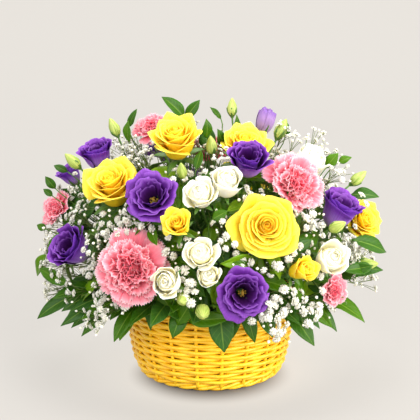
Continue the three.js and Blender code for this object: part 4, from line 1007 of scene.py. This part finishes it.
def growLeaves():
    heaps = {name: newHeap() for name in leafyStems}
    dice = np.random.default_rng(filling["seed"])
    made = {name: 0 for name in leafyStems}
    for name, ways in leafyStems.items():
        way = bearing(*ways)
        stem = [heart + way * stemStart, heart + way * twigs["fork"]]
        addTube(heaps[name], stem, stems["leafy"], 1, stems["sides"])

    def twigTo(name, over, root, way):
        stem = bearing(*leafyStems[name])
        start = heart + stem * (twigs["fork"] - 1 - (made[name] * 1.7) % 14)
        made[name] += 1
        path = curve([start, start + stem * 8, over, root - way * 10, root], 9)
        addTube(heaps[name], path, twigs["radius"], 1, 5, twigs["endRadius"])

    def collarLeaf(tip, width, lightest):
        # a leaf whose twig passes over the rim
        turn = math.atan2(tip[0], -tip[1])
        out = np.array([math.sin(turn), -math.cos(turn), 0])
        rimReach, rimHeight = twigs["overRim"]
        over = out * rimReach + upward * (rimHeight + dice.uniform(-2, 4))
        over = over + np.cross(out, upward) * dice.normal(0, 4)
        gap = np.linalg.norm(tip - over)
        length = min(gap, leafShape["length"] * dice.uniform(0.95, 1.2))
        root = tip + (over - tip) * length / gap + upward * max(0, gap - length) * 0.15
        name = leafBranchFor(tip)
        twigTo(name, over - out * 6 + upward * 3, root, unit(tip - root))
        ahead = np.array([0, -1.0 if tip[1] < 40 else 1.0, 0])
        up = unit(upward * 0.4 + out * 0.45 + ahead * 0.55 + dice.normal(0, 0.16, 3))
        addLeaf(heaps[name], root, tip, up, width, 0, dice, lightest)

    def innerLeaf(way, reach, looking):
        # a leaf below the blooms that pokes into none of them; looking leans its face that way
        middle = heart + way * reach
        for attempt in range(10):
            swing = dice.uniform(0, 2 * math.pi)
            east = unit(levelAcross(way))
            flat = east * math.cos(swing) + np.cross(way, east) * math.sin(swing)
            run = unit(flat + way * 0.3)
            half = leafShape["length"] * dice.uniform(0.36, 0.46)
            root, tip = middle - run * half, middle + run * half
            if all(np.linalg.norm(point - place[0]) > place[2] * 0.95 for place in bloomPlaces
                   for point in (root, middle, tip)):
                break
        else:
            return
        name = "crown" if way[2] > twigs["crownAbove"] else leafBranchFor(middle)
        twigTo(name, heart + unit(root - heart) * reach * twigs["inside"], root, run)
        width = leafShape["width"] * dice.uniform(0.75, 0.95)
        addLeaf(heaps[name], root, tip, unit(way + looking), width, 0, dice, rows=leafShape["hiddenRows"])

    for x, y, z, width in shownLeaves:
        collarLeaf(np.array([x, y, z], float), width * dice.uniform(0.92, 1.1), 0.4)
    for k, (tip, root, width) in enumerate(placedLeaves + deepLeaves):
        tip, root = np.array(tip, float), np.array(root, float)
        outward = unit(root - heart)
        name = "crown" if outward[2] > twigs["crownAbove"] else leafBranchFor(root)
        over = heart + outward * np.linalg.norm(root - heart) * twigs["inside"]
        twigTo(name, over, root, unit(tip - root))
        up = unit(outward * 0.5 + np.array([0, -0.8, 0.3]) + dice.normal(0, 0.15, 3))
        # the deep leaves are held to the darkest tones, painted shade where they sit behind the florets
        addLeaf(heaps[name], root, tip, up, width * 1.1, 0, dice, 0.5 if k < len(placedLeaves) else -0.5)
    for k in range(collar["count"]):  # longer at the sides, and higher and darker in front
        turn = math.radians(k * 360 / collar["count"] + dice.normal(0, 3))
        ahead = math.cos(turn)
        out = collar["reach"] + collar["wider"] * abs(math.sin(turn))
        out += dice.uniform(-collar["play"], collar["play"])
        out = min(out, collar["backReach"]) if ahead < 0 else out
        lowest = collar["lowest"][0 if ahead > 0.7 else 1]
        height = dice.uniform(lowest, collar["highest"])
        tip = np.array([math.sin(turn) * out, -ahead * out, height])
        collarLeaf(tip, leafShape["width"] * dice.uniform(0.85, 1.05), 0.0 if ahead > 0.5 else 0.7)
    for tip in crownLeaf["tips"]:
        tip = np.array(tip, float)
        outward = unit(tip - heart)
        across = unit(np.cross(outward, [0, 1, 0]))
        way = unit(outward + across * dice.normal(0, 0.25) + upward * 0.2)
        root = tip - way * crownLeaf["length"] * dice.uniform(0.85, 1.1)
        twigTo("crown", heart + outward * 110, root, way)
        addLeaf(heaps["crown"], root, tip, unit(np.array([0, -1, 0.4]) + dice.normal(0, 0.3, 3)),
                crownLeaf["width"] * dice.uniform(0.85, 1.15), 0, dice)
    for around, above, reach in innerLeaves:
        innerLeaf(bearing(around, above), reach, np.array([0, -0.5, 0.1]))
    for k in range(filling["under"]):
        above = math.degrees(math.asin(min(0.98, 0.1 + 0.88 * (k + 0.5) / filling["under"])))
        way = bearing((k * goldenAngle) % 360, above)
        below = dice.uniform(*filling["below"]) + (12 if above > 58 else 0)
        innerLeaf(way, max(bloomReach(way) - below, filling["least"]), dice.normal(0, 0.25, 3))
    for name, heap in heaps.items():
        makePiece("leafyBranch" + name.title().replace("_", ""), heap, [leafFinish, greens["stemGreen"]],
                  [f"leafy_branch_{name}"])


growLeaves()
print("leaves made")

# Gypsophila: clouds of small double florets on thin branching stalks, wherever the blooms leave room. stems:
# degrees round and above; slices: which stem carries what, by degrees round; whorls: petals, length and lean;
# leavesShow: no florets from, to and below these degrees; sparse: fewer near the sides.
gypsophila = {"stems": {"left": (-54, 40), "front": (12, 38), "right": (96, 48), "back": (128, 36)},
              "slices": {"left": (-125, -50), "front": (-50, 22), "right": (22, 100), "back": (100, 235)},
              "round": (-125, 235), "rise": (-0.02, 0.985), "leavesShow": [(-45, 28, 9), (-34, 8, 17)],
              "sparse": {"middle": 85, "half": 32, "below": 17, "share": 0.6}, "fork": 84,
              "clusters": 290, "tries": 9000, "apart": 15, "depth": (-15, 3), "joint": 24,
              "clusterWidth": 14, "florets": (3, 6), "floretWidth": 8.4, "patterns": 6, "plainBehind": 0.1,
              "whorls": ((7, 1.0, 84), (6, 0.86, 56), (4, 0.7, 28)),
              "plainWhorls": ((6, 1.0, 84), (5, 0.8, 48)),
              "stalk": 0.32, "branch": 0.55, "buds": 3, "budSize": (1.1, 1.9), "seed": 11}
# airy sprays that stand out past the blooms: degrees round, degrees above, mm from the heart
airySprays = [(102, 55, 216), (100, 50, 211), (86, 62, 205), (97, 66, 205), (80, 46, 205), (90, 26, 200),
              (-91, 29, 200), (-90, 24, 199), (-93, 35, 205), (-79, 70, 192), (-60, 64, 190), (87, 33, 202),
              (91, 57, 208), (-93, 40, 200), (93, 45, 206), (150, 62, 196), (210, 66, 194), (170, 50, 192),
              (-120, 60, 198)]


def floretPattern(seed, plain):
    # one floret of width 1 round +Z: whorls of petals, each a thin closed blade, on a small green calyx; the
    # petals are notched, but on the plain ones for the far side they aren't, and there are fewer
    dice = np.random.default_rng(seed)
    points, faces, pointMarks, finish = [], [], [], []
    outline = [(0, 0), (0.5, -0.14), (0.98, -0.16), (0.9, 0), (0.98, 0.16), (0.5, 0.14)]
    if plain:
        outline = [(0, 0), (0.7, -0.22), (1.0, 0), (0.7, 0.22)]
    upper, lower = len(outline), len(outline) + 1  # the blade's middle points
    for row, (count, length, lean) in enumerate(gypsophila["plainWhorls" if plain else "whorls"]):
        for k in range(count):
            turn = 2 * math.pi * (k + 0.5 * row) / count + dice.normal(0, 0.12)
            tilt = math.radians(lean + dice.normal(0, 9))
            reach = 0.5 * length * dice.uniform(0.88, 1.08)
            first = len(points)
            for n, (share, aside) in enumerate(outline + [(0.55, 0), (0.55, 0)]):
                out = math.sin(tilt) * share * reach + 0.05 * share * share
                rise = math.cos(tilt) * share * reach + {upper: 0.02, lower: -0.03}.get(n, 0)
                points.append([out * math.cos(turn) - aside * math.sin(turn),
                               out * math.sin(turn) + aside * math.cos(turn), rise])
                pointMarks.append([share, aside * 5, n != lower, dice.uniform(-1, 1)])
            for a in range(len(outline)):
                b = (a + 1) % len(outline)
                faces += [[first + upper, first + a, first + b], [first + lower, first + b, first + a]]
                finish += [0, 0]
    first = len(points)
    for k in range(5):  # a green calyx below, and the folded middle petals above
        turn = 2 * math.pi * k / 5
        points.append([0.14 * math.cos(turn), 0.14 * math.sin(turn), 0.1])
        faces += [[first + 5, first + (k + 1) % 5, first + k], [first + 6, first + k, first + (k + 1) % 5]]
        finish += [1, 0]
    points += [[0, 0, -0.14], [0, 0, 0.26]]
    pointMarks += [[0.9, 0, 1, 0]] * 7
    return np.array(points), np.array(faces), np.array(finish), np.array(pointMarks, float)


def growGypsophila():
    dice = np.random.default_rng(gypsophila["seed"])
    patterns = [[floretPattern(k, plain) for k in range(gypsophila["patterns"])] for plain in (False, True)]
    heaps = {name: newHeap() for name in gypsophila["stems"]}
    grown = {name: 0 for name in heaps}
    for name, ways in gypsophila["stems"].items():
        way = bearing(*ways)
        addTube(heaps[name], [heart + way * stemStart, heart + way * gypsophila["fork"]], stems["airy"], 1, 6)

    def free(point, spare):
        # clear of every bloom and of the view onto its face
        for middle, facing, half, reach in bloomPlaces:
            away = point - middle
            ahead = float(np.dot(away, facing))
            aside = np.linalg.norm(away - facing * ahead)
            far = np.linalg.norm(away)
            inView = ahead > -half * 0.3 and aside < half * 0.84 + spare and far < half * 2.2
            if far < half * 0.92 + spare or inView:
                return False
        return True

    def cluster(turn, way, reach):
        # a few florets and buds on stalks from one joint, on a branch from the stem of their slice
        middle = heart + way * reach
        name = next(n for n, (low, high) in gypsophila["slices"].items() if low <= turn < high)
        heap = heaps[name]
        grown[name] += 1
        stem = bearing(*gypsophila["stems"][name])
        start = heart + stem * (gypsophila["fork"] - 1 - (grown[name] * 2.3) % 20)
        joint = middle - way * gypsophila["joint"]
        branch = curve([start, start + stem * 18, joint - way * 20, joint], 7)
        addTube(heap, branch, gypsophila["branch"], 1, 4, gypsophila["stalk"] + 0.1)
        east = unit(levelAcross(way, 0.9))
        north = np.cross(way, east)
        fewest, most = gypsophila["florets"]
        count = int(dice.integers(fewest, most + 1))
        twirl = dice.uniform(0, 6.28)
        for k in range(count + gypsophila["buds"]):
            angle = twirl + k * math.radians(goldenAngle)
            out = gypsophila["clusterWidth"] * math.sqrt((k + 0.4) / (count + 2))
            spread = east * math.cos(angle) * out + north * math.sin(angle) * out
            tip = middle + spread + way * dice.uniform(-7, 3)
            if not free(tip, 2.5):
                continue
            fan = unit(tip - joint)
            addTube(heap, curve([joint, joint + way * 8, tip - fan * 1.2], 3), gypsophila["stalk"], 1, 3)
            facing = unit(fan + dice.normal(0, 0.3, 3))
            if k < count:  # wider near the front
                width = gypsophila["floretWidth"] * dice.uniform(0.82, 1.18)
                width *= 1.12 if way[1] < -0.7 and way[2] < 0.6 else 0.92
                place = stand(tip, facing, dice.uniform(0, 360))
                plain = int(way[1] > gypsophila["plainBehind"])
                pattern = patterns[plain][int(dice.integers(gypsophila["patterns"]))]
                points, faces, finish, pointMarks = pattern
                addPart(heap, place(points * width), [faces], finish, pointMarks)
            else:
                size = dice.uniform(*gypsophila["budSize"])
                profile = [(size * 0.5, 0), (size * 1.05, size), (size * 0.35, size * 2.1)]
                addTurned(heap, stand(tip, facing), profile, 0, 5, dice.uniform(-1, 1))

    placed = []
    for around, above, reach in airySprays:
        cluster(around, bearing(around, above), reach)
        placed.append(spot((around, above, reach)))
    sparse = gypsophila["sparse"]
    tries = 0
    while len(placed) < gypsophila["clusters"] and tries < gypsophila["tries"]:
        tries += 1
        turn = dice.uniform(*gypsophila["round"])
        above = math.degrees(math.asin(dice.uniform(*gypsophila["rise"])))
        if any(low < turn < high and above < top for low, high, top in gypsophila["leavesShow"]):
            continue
        beside = abs(abs(turn) - sparse["middle"]) < sparse["half"] and above < sparse["below"]
        if beside and dice.uniform() < sparse["share"]:
            continue
        way = bearing(turn, above)
        reach = bloomReach(way) + dice.uniform(*gypsophila["depth"])
        middle = heart + way * reach
        crowded = any(np.linalg.norm(middle - other) < gypsophila["apart"] for other in placed)
        if crowded or not free(middle, 1):
            continue
        placed.append(middle)
        cluster(turn, way, reach)
    print("gypsophila clusters:", len(placed))
    for name, heap in heaps.items():
        makePiece("gypsophila" + name.title(), heap, [petals["gypsophilaPetal"], greens["paleStalk"]],
                  [f"gypsophila_{name}"])


growGypsophila()
print("gypsophila made")

# Basket: stakes, rings of willow that pass before one stake and behind the next, twisted borders and a woven
# base.
weave = {"rimRadius": 97, "footRadius": 81, "height": 86, "flare": 0.7, "inset": 3.2, "stakes": 20,
         "firstStake": 8.5, "stakeRadius": 2.0, "stakeFoot": 3, "rows": 18, "lowest": 11.0, "highest": 79.5,
         "rod": 2.25, "squash": 0.9, "swing": 2.1, "waver": 0.25, "wavers": 7, "seed": 3}
border = {"foot": 4.4, "rim": 4.6, "strands": 3, "turns": 9, "points": 216}
baseWeave = {"rings": 15, "innermost": 6, "margin": 12, "height": 2.6, "rod": 1.35, "lift": 0.9, "points": 64,
             "spokes": 8, "spokeReach": 76, "spokeRadius": 1.5}


def wallRadius(z):
    flare = (z / weave["height"]) ** weave["flare"]
    return weave["footRadius"] + (weave["rimRadius"] - weave["footRadius"]) * flare


def roundPath(turn, reach, height):
    return np.stack([reach * np.sin(turn), -reach * np.cos(turn), height], 1)


def weaveBasket():
    dice = np.random.default_rng(weave["seed"])
    heap = newHeap()
    stakes = weave["stakes"]
    first = math.radians(weave["firstStake"])
    heights = np.linspace(weave["stakeFoot"], weave["height"], 16)
    for k in range(stakes):
        turn = first + 2 * math.pi * k / stakes
        path = roundPath(turn, wallRadius(heights) - weave["inset"], heights)
        addTube(heap, path, weave["stakeRadius"], 0, 7, shade=dice.uniform(-1, 1))
    turn = evenAngles(stakes * 9)
    for row in range(weave["rows"]):
        height = weave["lowest"] + (weave["highest"] - weave["lowest"]) * row / (weave["rows"] - 1)
        phase = math.pi * row - first * stakes / 2
        swing = weave["swing"] * dice.uniform(0.92, 1.08)
        reach = wallRadius(height) - weave["inset"] + swing * np.cos(stakes // 2 * turn + phase)
        around = np.linspace(0, 2 * math.pi * weave["wavers"], len(turn))
        path = roundPath(turn, reach, height + weave["waver"] * np.sin(around + dice.uniform(0, 6)))
        addTube(heap, path, weave["rod"], 0, 6, shade=dice.uniform(-1, 1), squash=weave["squash"],
                closed=True)
    turn = evenAngles(border["points"])
    for middle, height, thick in ((weave["footRadius"] - border["foot"] + 1, border["foot"], border["foot"]),
                                  (weave["rimRadius"] - border["rim"], weave["height"], border["rim"])):
        for k in range(border["strands"]):
            roll = border["turns"] * turn + 2 * math.pi * k / border["strands"]
            path = roundPath(turn, middle + thick / 2 * np.cos(roll), height + thick / 2 * np.sin(roll))
            addTube(heap, path, thick / 2, 0, 7, shade=dice.uniform(-1, 1), closed=True)
    turn = evenAngles(baseWeave["points"])
    for k in range(baseWeave["rings"]):
        radius = baseWeave["innermost"] + k * (weave["footRadius"] - baseWeave["margin"]) / baseWeave["rings"]
        lift = baseWeave["lift"] * np.cos(baseWeave["spokes"] * turn + math.pi * k)
        path = roundPath(turn, radius, baseWeave["height"] + lift)
        addTube(heap, path, baseWeave["rod"], 0, 5, shade=dice.uniform(-1, 1), closed=True)
    for k in range(baseWeave["spokes"]):
        turn = math.pi * k / baseWeave["spokes"]
        way = np.array([math.sin(turn), -math.cos(turn), 0]) * baseWeave["spokeReach"]
        ends = [upward * baseWeave["height"] - way, upward * baseWeave["height"] + way]
        addTube(heap, ends, baseWeave["spokeRadius"], 0, 6, shade=dice.uniform(-1, 1))
    makePiece("wickerBasket", heap, [wicker], ["basket"])


weaveBasket()
print("basket made")

# Stage, light and camera, in metres from here on. The stage's two washes of painted light and its painted
# contact shadow are smooth rounds: their middle, where they begin and end, and what they are worth there.
view = {"above": 15.0, "distance": 1.5, "height": 0.181, "focalPixels": 1363.6, "imagePixels": 420,
        "sensor": 36.0}
# the floor's glow is dimmed round the basket's foot as a painted contact shadow, and raised under the
# overhanging leaves and towards the far wall as painted light
stage = {"front": -2.6, "bend": 1.35, "bendRadius": 0.85, "top": 2.6, "half": 2.6, "colour": "625F5C",
         "glow": ("F2EEE7", 0.575), "paintedContactShadow": ((0, -0.025, 0), 0.05, 0.095, 0.0, 1.0),
         "paintedLightUnderLeaves": ((0, 0.05, 0), 0.08, 0.23, 0.2, 0.0),
         "paintedLightFarWall": ((0, -0.025, 0), 0.4, 2.0, 0.0, 0.085)}
# place, aim, width, watts and colour
lamps = {"keyLamp": ((1.4, -1.5, 1.15), (0, 0, 0.14), 1.8, 43, "FFFCF6"),
         "sideLamp": ((1.6, -0.7, 0.3), (0, 0, 0.1), 0.8, 18, "FFFEF6"),
         "fillLamp": ((-1.0, -1.8, 1.2), (0, 0, 0.15), 1.8, 24, "FAFBFF"),
         "topLamp": ((0.1, 0.3, 2.1), (0, 0, 0.1), 1.3, 38, "FFFFFF")}
air = {"colour": "F6F5F4", "strength": 1.0}


def makeStage():
    # one sheet: floor, a wide bend and a wall
    bend, radius = stage["bend"], stage["bendRadius"]
    profile = [(stage["front"], 0.0)]
    for a in np.linspace(0, math.pi / 2, 13):
        profile.append((bend + radius * math.sin(a), radius * (1 - math.cos(a))))
    profile.append((bend + radius, stage["top"]))
    points = [(x, y, z) for y, z in profile for x in (-stage["half"], stage["half"])]
    faces = [(2 * k, 2 * k + 1, 2 * k + 3, 2 * k + 2) for k in range(len(profile) - 1)]
    mesh = bpy.data.meshes.new("paperSweep")
    mesh.from_pydata(points, [], faces)
    mesh.polygons.foreach_set("use_smooth", np.ones(len(faces), bool))
    # the sheet glows evenly, which lights the arrangement from below; round the basket's foot the glow is
    # dimmed as a painted contact shadow, and it is raised as painted light under the leaves that hang over it
    # and towards the far wall
    finish, shader, add = newFinish("paperSweep")
    body = add("TexCoord", output="Object")

    def fade(name):
        middle, near, far, atNear, atFar = stage[name]
        away = add("VectorMath", [body, middle], "Value", operation="DISTANCE")
        return add("MapRange", {"Value": away, "From Min": near, "From Max": far, "To Min": atNear,
                                "To Max": atFar}, interpolation_type="SMOOTHSTEP")

    # painted light raised under the overhanging leaves and towards the far wall, then a painted contact
    # shadow round the foot
    paintedLightWashes = add("Math", [fade("paintedLightUnderLeaves"), fade("paintedLightFarWall")], operation="ADD")
    glow = add("Math", [paintedLightWashes, stage["glow"][1]], operation="ADD")
    setInputs(shader, {"Base Color": fromHex(stage["colour"]), "Roughness": 0.95,
                       "Emission Color": fromHex(stage["glow"][0]),
                       "Emission Strength": add("Math", [glow, fade("paintedContactShadow")], operation="MULTIPLY")})
    mesh.materials.append(finish)
    sheet = bpy.data.objects.new("paperSweep", mesh)
    bpy.context.scene.collection.objects.link(sheet)


def addLamp(name, place, aim, size, power, colour):
    lamp = bpy.data.lights.new(name, "AREA")
    lamp.shape = "DISK"
    lamp.size = size
    lamp.energy = power
    lamp.color = fromHex(colour)[:3]
    holder = bpy.data.objects.new(name, lamp)
    holder.location = place
    holder.rotation_euler = (Vector(aim) - Vector(place)).to_track_quat("-Z", "Y").to_euler()
    bpy.context.scene.collection.objects.link(holder)


makeStage()
for name, settings in lamps.items():
    addLamp(name, *settings)
world = bpy.data.worlds.new("softRoom")
world.use_nodes = True
setInputs(world.node_tree.nodes["Background"], [fromHex(air["colour"]), air["strength"]])
bpy.context.scene.world = world
bpy.context.scene.view_settings.view_transform = "Standard"

camera = bpy.data.cameras.new("camera")
camera.sensor_width = view["sensor"]
camera.lens = camera.sensor_width * view["focalPixels"] / view["imagePixels"]
eye = bpy.data.objects.new("camera", camera)
tilt = math.radians(view["above"])
eye.location = (0, -view["distance"] * math.cos(tilt), view["height"] + view["distance"] * math.sin(tilt))
eye.rotation_euler = (math.radians(90) - tilt, 0, 0)
bpy.context.scene.collection.objects.link(eye)
bpy.context.scene.camera = eye
print("stage, lamps and camera set")
